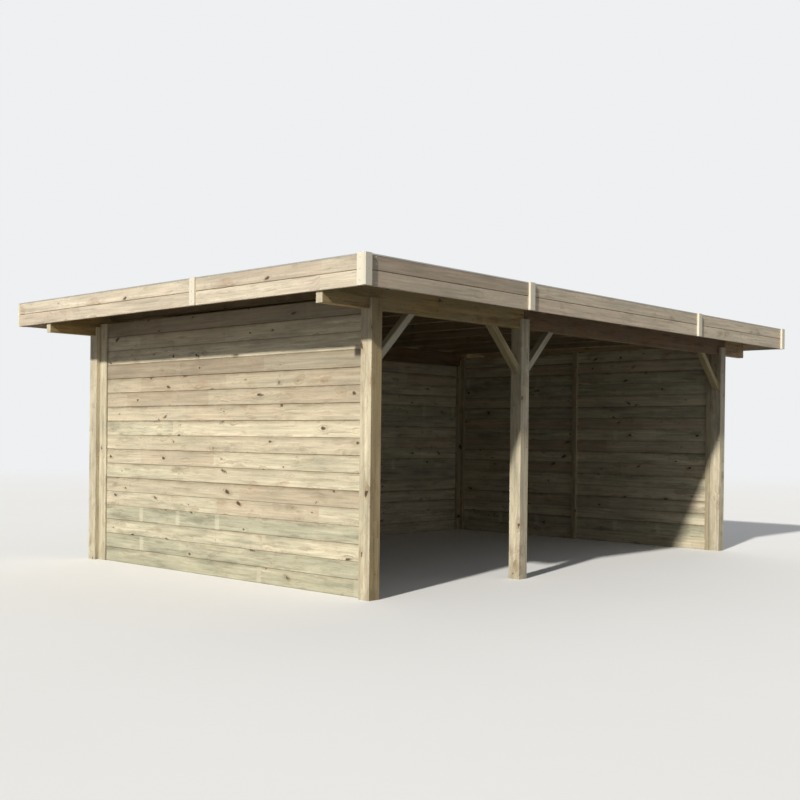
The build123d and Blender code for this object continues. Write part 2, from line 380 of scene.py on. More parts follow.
def knot_nodes(w, given, place):
    """Knots, which come in whorls along the stem, and what they do to the wood round them."""
    along, across, through = w.split(place)
    whorls = w.noise(along, 2.4, detail=1.0, dimensions="1D")
    spot = w.join(w.times(along, KNOT_STRETCH), across, w.times(through, given["Depth"]))
    sockets = {"Vector": spot, "Scale": 1 / KNOT_CELL, "Randomness": 0.8}
    cells = w.node("ShaderNodeTexVoronoi", sockets, feature="F1")
    chance, girth, age = w.split(cells.outputs["Color"])
    wanted = w.times(given["Knots"], w.spread(whorls, 0.40, 0.56, 0.3, 1.6))
    present = w.math("LESS_THAN", chance, wanted)
    near = w.math("LESS_THAN", chance, w.times(wanted, 2.0))

    # A branch that was sawn at a slant leaves a long spot, drawn out at one end
    offset = w.vector("SUBTRACT", spot, cells.outputs["Position"])
    offset = w.vector("SCALE", offset, scale=1 / KNOT_CELL)
    offset = w.vector("MULTIPLY", offset, (1 / KNOT_STRETCH, 1.0, 1.0))
    toss = w.redraw(girth, 7.31)
    slant = w.plus(w.spread(toss, 0.0, 1.0, -0.55, 0.55), w.times(w.math("ROUND", age), math.pi))
    sockets = {"Vector": offset, "Angle": slant}
    turned = w.node("ShaderNodeVectorRotate", sockets, rotation_type="Z_AXIS").outputs[0]
    length = w.spread(w.redraw(age, 5.7), 0.0, 1.0, 1.2, 3.1)
    length = w.times(length, w.spread(w.split(turned)[0], -0.04, 0.04, 0.75, 1.5))
    shape = w.vector("DIVIDE", turned, w.join(length, 1.0, 1.0))
    wobble = w.sway(w.noise(place, 55.0, detail=3.0, roughness=0.65), 0.22)
    radius = w.spread(w.math("POWER", girth, 1.5), 0.0, 1.0, 0.065, 0.235)

    def fade(distance, inner, outer, *levels):
        """Goes from one level to the other between two shares of the knot's radius."""
        return w.spread(distance, w.times(radius, inner), w.times(radius, outer), *levels, smooth=True)

    distance = w.plus(w.vector("LENGTH", shape), wobble)
    heart = w.times(fade(distance, 0.55, 1.1, 1.0, 0.0), present)
    rim = fade(distance, 0.2, 0.8)

    # Resin and bent grain reach furthest along the stem, and pale wood lies on one side of the knot
    reach = w.vector("LENGTH", w.vector("MULTIPLY", turned, (0.42, 1.0, 1.0)))
    reach = w.plus(reach, w.times(wobble, 1.6))
    halo = w.times(fade(reach, 0.8, 3.6, 1.0, 0.0), near)
    side = w.vector("SUBTRACT", shape, w.join(w.times(radius, 0.7), w.times(radius, 1.5), 0.0))
    glint = w.plus(w.vector("LENGTH", side), w.times(wobble, 1.5))
    glint = w.times(fade(glint, 0.3, 2.1, 0.6, 0.0), present, w.spread(age, 0.45, 0.75))
    swirl = w.crest(w.part(w.plus(w.times(reach, 4.2), toss)), 0.55, 0.85, 0.95)
    bent = w.times(w.split(offset)[1], halo)
    return {
        "heart": heart,
        "rim": rim,
        "halo": halo,
        "glint": glint,
        "swirl": w.times(swirl, halo),
        "girth": girth,
        "age": age,
        "flow": w.minus(across, w.times(bent, 0.75 * KNOT_CELL)),
    }


def ring_nodes(w, place, flow):
    """Late wood of each year and of broader bands, in rings round a pith that wanders behind the face."""
    along, _, through = w.split(place)
    wander = w.sway(w.noise(along, 0.55, detail=2.0, dimensions="1D"), 0.11)
    pith_across = w.plus(w.minus(w.math("MODULO", flow, PITH_SPACING), PITH_SPACING / 2), wander)
    pith_depth = w.plus(w.times(w.noise(along, 0.8, dimensions="1D"), 0.09), through)
    growth = w.vector("LENGTH", w.join(pith_across, pith_depth, 0.0))
    ripple = w.noise(w.vector("MULTIPLY", place, (1.2, 14.0, 14.0)), 1.0, detail=3.0)
    growth = w.plus(growth, w.times(ripple, 0.009))
    late = w.crest(w.part(w.math("DIVIDE", growth, YEAR_RING)), 0.45, 0.95, 1.0)
    band = w.crest(w.part(w.math("DIVIDE", growth, RING_BAND)), 0.5, 0.9, 1.0)
    return late, band


def spacer_nodes(w, given, flame, blotch):
    """Pale bars where the spacers of the drying stack kept the preservative off the green boards."""
    slot = w.plus(w.split(given["Vector"])[0], w.times(given["Board"], 0.05), -0.14, w.sway(flame, 0.03))
    bar = w.spread(w.math("PINGPONG", slot, SPACER_STEP / 2), 0.020, 0.040, 1.0, 0.0, smooth=True)
    column = w.math("ROUND", w.math("DIVIDE", slot, SPACER_STEP))
    column = w.plus(column, w.times(w.math("ROUND", w.times(given["Board"], 89.0)), 7.0))
    taken = w.spread(w.lot(column), 0.6, 0.8)
    on_green = w.spread(given["Tone"], 0.25, 0.38, 1.0, 0.12)
    return w.times(bar, taken, on_green, given["Marks"], w.spread(blotch, 0.35, 0.55, 0.45, 1.0))


def timber_grain_group(timber):
    """Growth rings, streaks, knots and stain of planed softwood. Its vector runs along the grain in X."""
    inputs = (
        ("NodeSocketVector", "Vector"),
        ("NodeSocketFloat", "Board", 0.0),
        ("NodeSocketFloat", "Tone", 0.5),
        ("NodeSocketFloat", "Shade", 1.0),
        ("NodeSocketFloat", "Stretches", 0.3),
        ("NodeSocketFloat", "Marks", 0.0),
        ("NodeSocketFloat", "Knots", 0.35),
        ("NodeSocketFloat", "Depth", 0.0),
        ("NodeSocketFloat", "Streaks", 1.0),
        ("NodeSocketColor", "Tint", WHITE),
    )
    outputs = (
        ("NodeSocketColor", "Color"),
        ("NodeSocketFloat", "Roughness"),
        ("NodeSocketFloat", "Height"),
    )
    group, w, given, end = new_group("Timber Grain", inputs, outputs)
    board, streaks = given["Board"], given["Streaks"]
    green, cream, rosy = opaque(timber.green), opaque(timber.cream), opaque(timber.rosy)
    late_wood = opaque(timber.late_wood)

    # Each board is cut from its own place in the tree
    shift = w.join(w.times(board, TREE_SHIFT[0]), w.times(board, TREE_SHIFT[1]), 0.0)
    place = w.vector("ADD", given["Vector"], shift)
    along, _, through = w.split(place)
    knots = knot_nodes(w, given, place)
    halo, heart, age = knots["halo"], knots["heart"], knots["age"]
    late, band = ring_nodes(w, place, knots["flow"])

    def lengthwise(along_scale, cross_scale, detail, roughness=0.5):
        """Noise drawn out along the grain, which bends round the knots."""
        cross = w.times(knots["flow"], cross_scale)
        depth = w.times(through, cross_scale)
        return w.noise(w.join(w.times(along, along_scale), cross, depth), 1.0, detail, roughness)

    streak = lengthwise(1.3, 42.0, 3.0, 0.6)
    thread = lengthwise(2.4, 150.0, 2.0)
    fibre = lengthwise(9.0, 430.0, 2.0)
    blotch = lengthwise(1.5, 9.0, 4.0, 0.62)
    flame = lengthwise(2.1, 26.0, 4.0, 0.66)
    speck = lengthwise(26.0, 210.0, 1.0)

    # Tone of the board, which changes at the marks of the stack that it dried in
    sockets = {"W": w.plus(along, w.times(board, 61.7)), "Scale": 0.75}
    stretch = w.node("ShaderNodeTexVoronoi", sockets, voronoi_dimensions="1D")
    change = w.sway(w.split(stretch.outputs["Color"])[0], given["Stretches"])
    tone = w.math("ADD", w.plus(given["Tone"], change), w.sway(blotch, 0.5), clamp=True)
    colour = w.mix(w.spread(tone, 0.15, 0.5, smooth=True), green, cream)
    colour = w.mix(w.spread(tone, 0.5, 0.85, smooth=True), colour, rosy)

    # Streaks and blotches lighten and darken it
    light = w.times(
        w.spread(streak, 0.30, 0.70, 0.80, 1.14),
        w.spread(thread, 0.3, 0.7, 0.92, 1.05),
        w.spread(blotch, 0.3, 0.7, 0.77, 1.18),
    )
    colour = w.tinted(colour, w.mix(streaks, WHITE, light))
    colour = w.tinted(colour, w.join(given["Shade"], given["Shade"], given["Shade"]))

    # Late wood, fibres, smoky flames, green smears and short dark dashes
    colour = w.mix(w.times(late, streaks, 0.20), colour, late_wood)
    colour = w.mix(w.times(band, w.plus(w.times(halo, 0.25), 0.10), streaks), colour, late_wood)
    colour = w.mix(w.times(w.spread(fibre, 0.62, 0.8), 0.10), colour, late_wood)
    smoke = w.times(w.spread(flame, 0.52, 0.70, smooth=True), w.spread(tone, 0.1, 0.4, 0.66, 0.46))
    colour = w.mix(w.times(smoke, streaks), colour, SMOKY_GRAIN)
    smear = w.times(w.spread(blotch, 0.46, 0.30, smooth=True), w.spread(tone, 0.15, 0.42, 0.62, 0.0))
    colour = w.mix(smear, colour, GREEN_SMEAR)
    colour = w.mix(w.times(w.spread(speck, 0.68, 0.76), streaks, 0.6), colour, DARK_DASH)
    colour = w.mix(spacer_nodes(w, given, flame, blotch), colour, SPACER_BAR)

    # Resin round the knots, bent lines, the pale side and the knot itself
    resin = w.mix(w.spread(tone, 0.15, 0.45), GREEN_RESIN, opaque(timber.knot_ring))
    soaked = w.times(halo, w.spread(thread, 0.35, 0.6, 1.0, 0.3), w.spread(age, 0.35, 0.55, 0.14, 0.50))
    colour = w.mix(soaked, colour, resin)
    bent_line = w.times(knots["swirl"], w.spread(flame, 0.42, 0.60), 0.62)
    colour = w.mix(bent_line, colour, BENT_LINE)
    colour = w.mix(knots["glint"], colour, w.tinted(colour, PALER))
    core = w.mix(w.times(w.minus(1.0, knots["girth"]), 0.8), DARK_HEART, BROWN_HEART)
    colour = w.mix(w.times(heart, 0.94), colour, w.mix(knots["rim"], core, opaque(timber.knot)))

    rough = w.spread(w.plus(w.times(late, -0.35), fibre), 0.1, 0.8, 0.58, 0.82)
    height = w.plus(w.times(late, 0.00022), w.times(fibre, 0.00030), w.times(heart, -0.0006))
    w.fill(end.inputs["Color"], w.tinted(colour, given["Tint"]))
    w.fill(end.inputs["Roughness"], rough)
    w.fill(end.inputs["Height"], height)
    return group


def cut_end_group(timber):
    """Growth rings and checks on a cut end. Its vector lies in the cut face."""
    inputs = (("NodeSocketVector", "Vector"), ("NodeSocketFloat", "Board", 0.0))
    outputs = (("NodeSocketColor", "Color"), ("NodeSocketFloat", "Height"))
    group, w, given, end = new_group("Cut End", inputs, outputs)
    shift = w.times(given["Board"], 3.7)
    place = w.vector("ADD", given["Vector"], w.join(shift, shift, shift))
    flat = w.vector("MULTIPLY", place, (0.0, 1.0, 1.0))
    pith = w.vector("MODULO", flat, (0.0, CUT_END_SPACING, CUT_END_SPACING))
    pith = w.vector("SUBTRACT", pith, (0.0, 0.04, 0.11))
    growth = w.plus(w.vector("LENGTH", pith), w.times(w.noise(flat, 30.0, detail=3.0), 0.004))
    late = w.spread(w.part(w.math("DIVIDE", growth, CUT_END_RING)), 0.4, 0.95, smooth=True)
    colour = w.mix(w.times(late, 0.5), opaque(timber.cream), opaque(timber.late_wood))
    dirt = w.spread(w.noise(place, 24.0, detail=4.0), 0.35, 0.75)
    colour = w.mix(w.times(dirt, 0.45), colour, CUT_END_DIRT)
    w.fill(end.inputs["Color"], colour)
    w.fill(end.inputs["Height"], w.times(late, 0.0003))
    return group


def weather_group(timber):
    """Darkens the foot of the timber by splashes, and its joints by dirt."""
    inputs = (
        ("NodeSocketColor", "Color", (0.8, 0.8, 0.8, 1.0)),
        ("NodeSocketVector", "Vector"),
        ("NodeSocketFloat", "Joint", 0.0),
        ("NodeSocketFloat", "Grey", 0.1),
    )
    outputs = (("NodeSocketColor", "Color"),)
    group, w, given, end = new_group("Weather", inputs, outputs)
    uneven = w.noise(given["Vector"], 7.0, detail=4.0, roughness=0.65)
    reach = w.plus(w.split(given["Vector"])[2], w.sway(uneven, timber.damp * 0.9))
    splash = w.spread(reach, 0.0, timber.damp, 0.20, 0.0, smooth=True)
    colour = w.mix(splash, given["Color"], SPLASHES)
    patches = w.spread(w.noise(given["Vector"], 2.3, detail=4.0), 0.42, 0.72)
    colour = w.mix(w.times(patches, given["Grey"]), colour, GREYED)
    colour = w.mix(given["Joint"], colour, JOINT_DIRT)
    w.fill(end.inputs["Color"], colour)
    return group


def shared_group(name, make, *settings):
    """The node group of that name, built the first time that it is asked for."""
    return bpy.data.node_groups.get(name) or make(*settings)


def timber_node(w, name, make, sockets):
    """One of the timber's shared shader groups, placed in a material with its own values."""
    group = shared_group(name, make, bpy.context.scene.carport_timber)
    return w.node("ShaderNodeGroup", sockets, node_tree=group).outputs


class TimberLook:
    """What makes one timber finish differ from the next."""

    def __init__(self, tone, knots, **others):
        self.tone = tone
        self.knots = knots
        self.stretches = 0.0
        self.marks = 0.0
        self.streaks = 1.0
        self.grey = 0.1
        self.tint = WHITE[:3]
        self.front_painted_shade = None
        self.lit_end_tint = None
        self.wash = 0.0
        self.edge_dirt = 0.0
        self.lip_shade = 0.0
        self.turn = ALONG_X
        self.carried = False
        for key, value in others.items():
            setattr(self, key, value)


def carried_inputs(w, look, object_place):
    """What the attributes of a board say about it, with dirt along its edges and painted shade under its
    upper lip.
    """
    width = bpy.context.scene.carport_boards.cover

    def carried(name, output="Fac"):
        return w.node("ShaderNodeAttribute", attribute_name=name).outputs[output]

    place = carried("grain", "Vector")
    openness = carried("seam")
    across = w.split(place)[1]
    uneven = w.noise(object_place, 4.0, detail=4.0, roughness=0.65)
    low_edge = w.spread(across, 0.0, 0.011, 1.0, 0.0)
    edge = w.math("MAXIMUM", low_edge, w.spread(across, width - 0.020, width))
    edge = w.times(edge, look.edge_dirt, w.spread(uneven, 0.38, 0.62, 0.35, 1.0))
    # Painted shade that darkens the top of each board, under the lip of the board above
    lip = w.math("POWER", w.spread(across, width - 0.062, width - 0.004), 1.6)
    return {
        "place": place,
        "board": carried("board"),
        "tone": w.plus(carried("tone"), look.tone - 0.5),
        "shade": carried("shade"),
        "cut": carried("cut"),
        "joint": w.times(w.math("MAXIMUM", carried("joint"), edge), openness),
        "lip": w.times(lip, look.lip_shade, w.spread(uneven, 0.35, 0.65, 0.3, 1.0), openness),
    }


def solid_inputs(w, look, object_place):
    """The same for a CAD solid, whose grain runs the way that the look turns it."""
    normal = w.node("ShaderNodeNewGeometry").outputs["Normal"]
    sockets = {"Vector": object_place, "Rotation": look.turn}
    place = w.node("ShaderNodeMapping", sockets, vector_type="POINT").outputs[0]
    sockets = {"Vector": normal, "Rotation": look.turn}
    turned = w.node("ShaderNodeMapping", sockets, vector_type="POINT").outputs[0]
    facing = w.math("ABSOLUTE", w.split(turned)[0])
    cut = w.spread(facing, 0.85, 0.95)
    plain = {"board": 0.0, "tone": look.tone, "shade": 1.0, "joint": 0.0, "lip": 0.0}
    return {"place": place, "cut": cut, **plain}


def timber_material(name, look):
    """A planed softwood finish. A carried look reads the boards' attributes, another one object space."""
    material = bpy.data.materials.get(name)
    if material:
        return material
    material, w, shader, object_place = new_material(name)
    given = (carried_inputs if look.carried else solid_inputs)(w, look, object_place)
    tint = opaque(look.tint)
    # Painted shade: faces that look to the front are tinted darker
    if look.front_painted_shade:
        normal = w.node("ShaderNodeNewGeometry").outputs["Normal"]
        front = w.spread(w.split(normal)[1], -0.95, -0.85, 1.0, 0.0)
        tint = w.mix(front, tint, opaque(look.front_painted_shade))
    # Painted light: the ends of the beam past the corner posts are tinted lighter
    if look.lit_end_tint:
        along = w.split(object_place)[0]
        beyond = w.spread(along, LIT_BEAM_END_START, LIT_BEAM_END_START + LIT_BEAM_END_FADE)
        tint = w.mix(beyond, tint, opaque(look.lit_end_tint))
    sockets = {
        "Vector": given["place"],
        "Board": given["board"],
        "Tone": given["tone"],
        "Shade": given["shade"],
        "Stretches": look.stretches,
        "Marks": look.marks,
        "Knots": look.knots,
        "Depth": 0.0 if look.carried else 0.6,
        "Streaks": look.streaks,
        "Tint": tint,
    }
    grain = timber_node(w, "Timber Grain", timber_grain_group, sockets)
    sockets = {"Vector": given["place"], "Board": given["board"]}
    ends = timber_node(w, "Cut End", cut_end_group, sockets)
    colour = w.mix(given["cut"], grain["Color"], ends["Color"])
    colour = w.mix(look.wash, colour, PALE_WASH)
    # Painted shade under the lip of the board above
    colour = w.mix(given["lip"], colour, LIP_PAINTED_SHADE)
    sockets = {"Color": colour, "Vector": object_place, "Joint": given["joint"], "Grey": look.grey}
    weather = timber_node(w, "Weather", weather_group, sockets)
    height = w.plus(grain["Height"], w.times(ends["Height"], given["cut"]))
    wire_surface(w, shader, weather["Color"], grain["Roughness"], height, 0.55)
    shader.inputs["Specular IOR Level"].default_value = 0.3
    return material


LOOKS = {
    "Wall Board Timber": TimberLook(
        0.5, 0.95, stretches=0.36, marks=0.7, grey=0.06, edge_dirt=0.36, lip_shade=0.42, carried=True
    ),
    "Fascia Timber": TimberLook(
        0.56, 0.14, stretches=0.15, grey=0.06, edge_dirt=0.15, tint=(1.02, 1.0, 1.06), carried=True
    ),
    "Trim Timber": TimberLook(0.5, 0.03, streaks=0.6, grey=0.02, wash=0.58, carried=True),
    "Post Timber": TimberLook(0.47, 0.30, grey=0.05, turn=ALONG_Z, tint=(0.93, 0.92, 0.92)),
    # The near post's front face gets painted shade
    "Near Post Timber Painted Shade": TimberLook(
        0.47, 0.30, grey=0.05, turn=ALONG_Z, tint=(0.93, 0.91, 0.89), front_painted_shade=(0.63, 0.545, 0.41)
    ),
    "Left Beam Timber": TimberLook(
        0.45, 0.16, stretches=0.2, streaks=1.7, grey=0.3, turn=ALONG_X, tint=(0.72, 0.58, 0.35)
    ),
    # The right beam's dark tint is painted shade
    "Right Beam Timber Painted Shade": TimberLook(
        0.6, 0.22, stretches=0.2, streaks=1.7, grey=0.15, turn=ALONG_X,
        tint=(0.32, 0.225, 0.155), lit_end_tint=(0.80, 0.66, 0.50),
    ),
    "Rising Brace Timber": TimberLook(0.45, 0.12, grey=0.2, turn=RISING, tint=(0.80, 0.80, 0.82)),
    "Falling Brace Timber": TimberLook(0.45, 0.12, grey=0.2, turn=FALLING, tint=(0.72, 0.66, 0.50)),
    "Stud Timber": TimberLook(0.5, 0.2, grey=0.2, turn=ALONG_Z, tint=(0.72, 0.68, 0.62)),
    # The dark tints of the joists and the deck are painted shade under the roof
    "Joist Timber Painted Shade": TimberLook(0.55, 0.2, stretches=0.2, grey=0.25, turn=ALONG_Y, tint=(0.48, 0.41, 0.33)),
    "Deck Timber Painted Shade": TimberLook(
        0.6, 0.35, stretches=0.3, grey=0.2, edge_dirt=0.3, tint=(0.46, 0.39, 0.31), carried=True
    ),
}


def timber(name):
    return timber_material(name, LOOKS[name])


def dress(node, material):
    """Gives a CAD node its finish and leaves its shape alone."""
    slots = NODES[node].data.materials
    slots.clear()
    slots.append(material)


# Meshes of boards and planks

UP = Vector((0, 0, 1))
# Points nearer than this are one point
TOUCHING = 1e-5
# Room beside a tongue, and the shares of a board's thickness between which the tongue lies
TONGUE_SLACK = 0.0005
TONGUE_SHARES = (0.34, 0.64)


def mesh_from(name, bm, material=None):
    """Turns a finished bmesh into a mesh."""
    mesh = bpy.data.meshes.new(name)
    bm.to_mesh(mesh)
    bm.free()
    if material:
        mesh.materials.append(material)
    return mesh


def link_object(name, data):
    """An object with its data, in the scene."""
    item = bpy.data.objects.new(name, data)
    bpy.context.scene.collection.objects.link(item)
    return item


def place_piece(name, mesh, nodes=()):
    """Links a finished mesh, rides it on the body and lets it stand for its nodes."""
    piece = link_object(name, mesh)
    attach(piece, BODY)
    if nodes:
        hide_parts(*nodes)
    return piece


def outer_side(low, high):
    """The axis that an upright board faces along, and 1 or -1 for the way from there out of the carport."""
    face_axis = 1 if high.x - low.x > high.y - low.y else 0
    return face_axis, 1 if low[face_axis] + high[face_axis] > 0 else -1


def join_rings(bm, first, second):
    """Closes the strip between two rings of corners."""
    for i in range(len(first)):
        j = (i + 1) % len(first)
        bm.faces.new((first[i], second[i], second[j], first[j]))


def extrude_section(bm, layers, section, length, board, kind, steps, joint_of=None):
    """A board of a closed section of (across, through) points, run along local X with its attributes."""
    rings = []
    for step in range(steps + 1):
        along = length * step / steps
        ring = []
        for across, through in section:
            vert = bm.verts.new((along, across, through))
            vert[layers["grain"]] = (along, across, through)
            vert[layers["board"]] = board
            vert[layers["tone"]], vert[layers["shade"]] = kind
            vert[layers["joint"]] = joint_of(through) if joint_of else 0.0
            vert[layers["seam"]] = 1.0
            ring.append(vert)
        rings.append(ring)
    for first, second in zip(rings, rings[1:]):
        join_rings(bm, first, second)
    return rings


def close_ends(bm, rings, layers, caps):
    """Caps of a board, with their own corners so that the cut mark stops at the edge."""
    for ring, order in ((rings[0], 1), (rings[-1], -1)):
        copies = []
        for vert in ring:
            copy = bm.verts.new(vert.co)
            for layer in layers.values():
                copy[layer] = vert[layer]
            copy[layers["joint"]] = 0.0
            copy[layers["cut"]] = 1.0
            copies.append(copy)
        for face in caps:
            bm.faces.new([copies[i] for i in face][::order])


def grain_layers(bm):
    layers = {"grain": bm.verts.layers.float_vector.new("grain")}
    for name in ("board", "tone", "shade", "joint", "seam", "cut"):
        layers[name] = bm.verts.layers.float.new(name)
    return layers


def tongue_section(cover, thick, boards):
    """Tongue and groove section with a vee on both faces, as (across, through) points and cap faces."""
    vee = boards.vee
    top = cover - boards.gap * TOP_GAP_SHARE
    tongue_in, tongue_out = thick * TONGUE_SHARES[0], thick * TONGUE_SHARES[1]
    section = [
        (vee, 0.0),
        (top - vee, 0.0),
        (top, vee),
        (top, tongue_in),
        (top + boards.tongue, tongue_in + TONGUE_SLACK),
        (top + boards.tongue, tongue_out - TONGUE_SLACK),
        (top, tongue_out),
        (top, thick - vee),
        (top - vee, thick),
        (vee, thick),
        (0.0, thick - vee),
        (0.0, tongue_out),
        (boards.tongue + TONGUE_SLACK, tongue_out),
        (boards.tongue + TONGUE_SLACK, tongue_in),
        (0.0, tongue_in),
        (0.0, vee),
    ]
    caps = [(0, 15, 14, 13), (0, 13, 1), (1, 13, 3, 2), (3, 13, 12, 6)]
    caps += [(3, 6, 5, 4), (6, 12, 8, 7), (12, 9, 8), (12, 11, 10, 9)]
    return section, caps


def square_section(width, thick, edge, top_vee=0.0, low_vee=0.0):
    """Plank section with eased edges; a vee takes the place of an eased outer edge."""
    low = max(edge, low_vee)
    top = max(edge, top_vee)
    section = [
        (low, 0.0),
        (width - top, 0.0),
        (width, top),
        (width, thick - edge),
        (width - edge, thick),
        (edge, thick),
        (0.0, thick - edge),
        (0.0, low),
    ]
    return section, [(0, 7, 6, 5), (0, 5, 4, 1), (1, 4, 3, 2)]


# Geometry Nodes


def finish_tree(w, end, geometry, material):
    """Makes the instances real and gives them their finish."""
    solid = w.node("GeometryNodeRealizeInstances", {"Geometry": geometry})
    finish = w.node("GeometryNodeSetMaterial", {"Geometry": solid.outputs[0], "Material": material})
    w.fill(end.inputs[0], finish.outputs[0])


def board_stack_tree():
    """Stacks copies of one board, each a little in or out of line and a little narrower or wider."""
    inputs = (
        ("NodeSocketGeometry", "Board"),
        ("NodeSocketInt", "Rows"),
        ("NodeSocketFloat", "Cover"),
        ("NodeSocketFloat", "Shrink"),
        ("NodeSocketFloat", "Wander"),
        ("NodeSocketInt", "Seed"),
        ("NodeSocketMaterial", "Material"),
    )
    outputs = (("NodeSocketGeometry", "Wall"),)
    tree, w, given, end = new_group("Board Stack", inputs, outputs, "GeometryNodeTree")
    sockets = {"Count": given["Rows"], "Offset": w.join(0.0, given["Cover"], 0.0)}
    rows = w.node("GeometryNodeMeshLine", sockets, mode="OFFSET", count_mode="TOTAL").outputs["Mesh"]
    width = w.lot_between(w.minus(1.0, given["Shrink"]), 1.0, given["Seed"])
    sockets = {"Points": rows, "Instance": given["Board"], "Scale": w.join(1.0, width, 1.0)}
    stack = w.node("GeometryNodeInstanceOnPoints", sockets).outputs[0]
    depth = w.lot_between(0.0, given["Wander"], w.plus(given["Seed"], 1.0))
    sockets = {"Instances": stack, "Translation": w.join(0.0, 0.0, depth)}
    moved = w.node("GeometryNodeTranslateInstances", sockets).outputs[0]
    sockets = {"Geometry": moved, "Name": "row", "Value": w.node("GeometryNodeInputIndex").outputs[0]}
    marked = w.node("GeometryNodeStoreNamedAttribute", sockets, data_type="FLOAT", domain="INSTANCE")
    finish_tree(w, end, marked.outputs[0], given["Material"])
    return tree


def fixing_tree():
    """Sets a head on each point, square to the face it is driven into and turned at random."""
    inputs = (
        ("NodeSocketGeometry", "Places"),
        ("NodeSocketObject", "Head"),
        ("NodeSocketInt", "Seed"),
        ("NodeSocketMaterial", "Material"),
    )
    outputs = (("NodeSocketGeometry", "Heads"),)
    tree, w, given, end = new_group("Fixing Heads", inputs, outputs, "GeometryNodeTree")
    sockets = {"Name": "facing"}
    facing = w.node("GeometryNodeInputNamedAttribute", sockets, data_type="FLOAT_VECTOR").outputs[0]
    upright = w.node("FunctionNodeAlignRotationToVector", {"Vector": facing}, axis="Z").outputs[0]
    spin = w.join(0.0, 0.0, w.lot_between(0.0, math.pi, given["Seed"]))
    sockets = {"Rotation": upright, "Rotate By": spin}
    turned = w.node("FunctionNodeRotateRotation", sockets, rotation_space="LOCAL").outputs[0]
    head = w.node("GeometryNodeObjectInfo", {"Object": given["Head"]}).outputs["Geometry"]
    sockets = {"Points": given["Places"], "Instance": head, "Rotation": turned}
    heads = w.node("GeometryNodeInstanceOnPoints", sockets).outputs[0]
    finish_tree(w, end, heads, given["Material"])
    return tree


def run_tree(tree, mesh, values):
    """Runs a tree on a mesh and gives the result as a plain mesh."""
    holder = link_object("holder", mesh)
    modifier = holder.modifiers.new("tree", "NODES")
    modifier.node_group = tree
    for item in tree.interface.items_tree:
        if item.in_out == "INPUT" and item.name in values:
            modifier[item.identifier] = values[item.name]
    holder.update_tag()
    bpy.context.view_layer.update()
    graph = bpy.context.evaluated_depsgraph_get()
    shaped = holder.evaluated_get(graph)
    result = bpy.data.meshes.new_from_object(shaped, preserve_all_data_layers=True, depsgraph=graph)
    holder.modifiers.clear()
    bpy.data.objects.remove(holder)
    return result


# Wall boards

# Tone and shade of the kinds of board
KINDS = {
    "green": (0.12, 1.02),
    "mossy": (0.22, 1.06),
    "straw": (0.42, 1.06),
    "cream": (0.48, 1.04),
    "pale": (0.46, 1.15),
    "beige": (0.60, 1.0),
    "honey": (0.70, 1.05),
    "tan": (0.72, 0.91),
    "rosy": (0.84, 0.91),
    "brown": (0.78, 0.65),
}
# How dark the joint over a board shows
SEAMS = {"tight": 0.35, "plain": 0.75, "open": 1.2}
# The left wall's boards from the ground up; other walls draw theirs
LEFT_WALL = (
    ("mossy", "plain"),
    ("green", "tight"),
    ("straw", "plain"),
    ("green", "tight"),
    ("beige", "tight"),
    ("tan", "open"),
    ("cream", "plain"),
    ("beige", "plain"),
    ("beige", "plain"),
    ("pale", "open"),
    ("honey", "open"),
    ("rosy", "plain"),
    ("rosy", "open"),
    ("brown", "plain"),
    ("cream", "plain"),
    ("beige", "open"),
    ("brown", "plain"),
)
OTHER_KINDS = ("green", "mossy", "straw", "cream", "cream", "beige", "beige", "tan", "rosy")
# Each wall's boards, its studs, its seed and the rows that are given for it
WALLS = (
    ("left_wall_boards", "left_wall_studs", 11, LEFT_WALL),
    ("right_wall_boards", "right_wall_studs", 23, None),
    ("back_wall_boards_left", "back_wall_studs", 37, None),
    ("back_wall_boards_right", "back_wall_studs", 41, None),
)
# Shares of the joint gap that a board's top gives up, and by which boards differ in width
TOP_GAP_SHARE = 0.2
WIDTH_GAP_SHARE = 0.6
# How much dirt lies on the hidden faces of a joint
JOINT_DEPTH_DIRT = 0.55
# Divisions along a board, so that its tones can change
BOARD_STEPS = 12


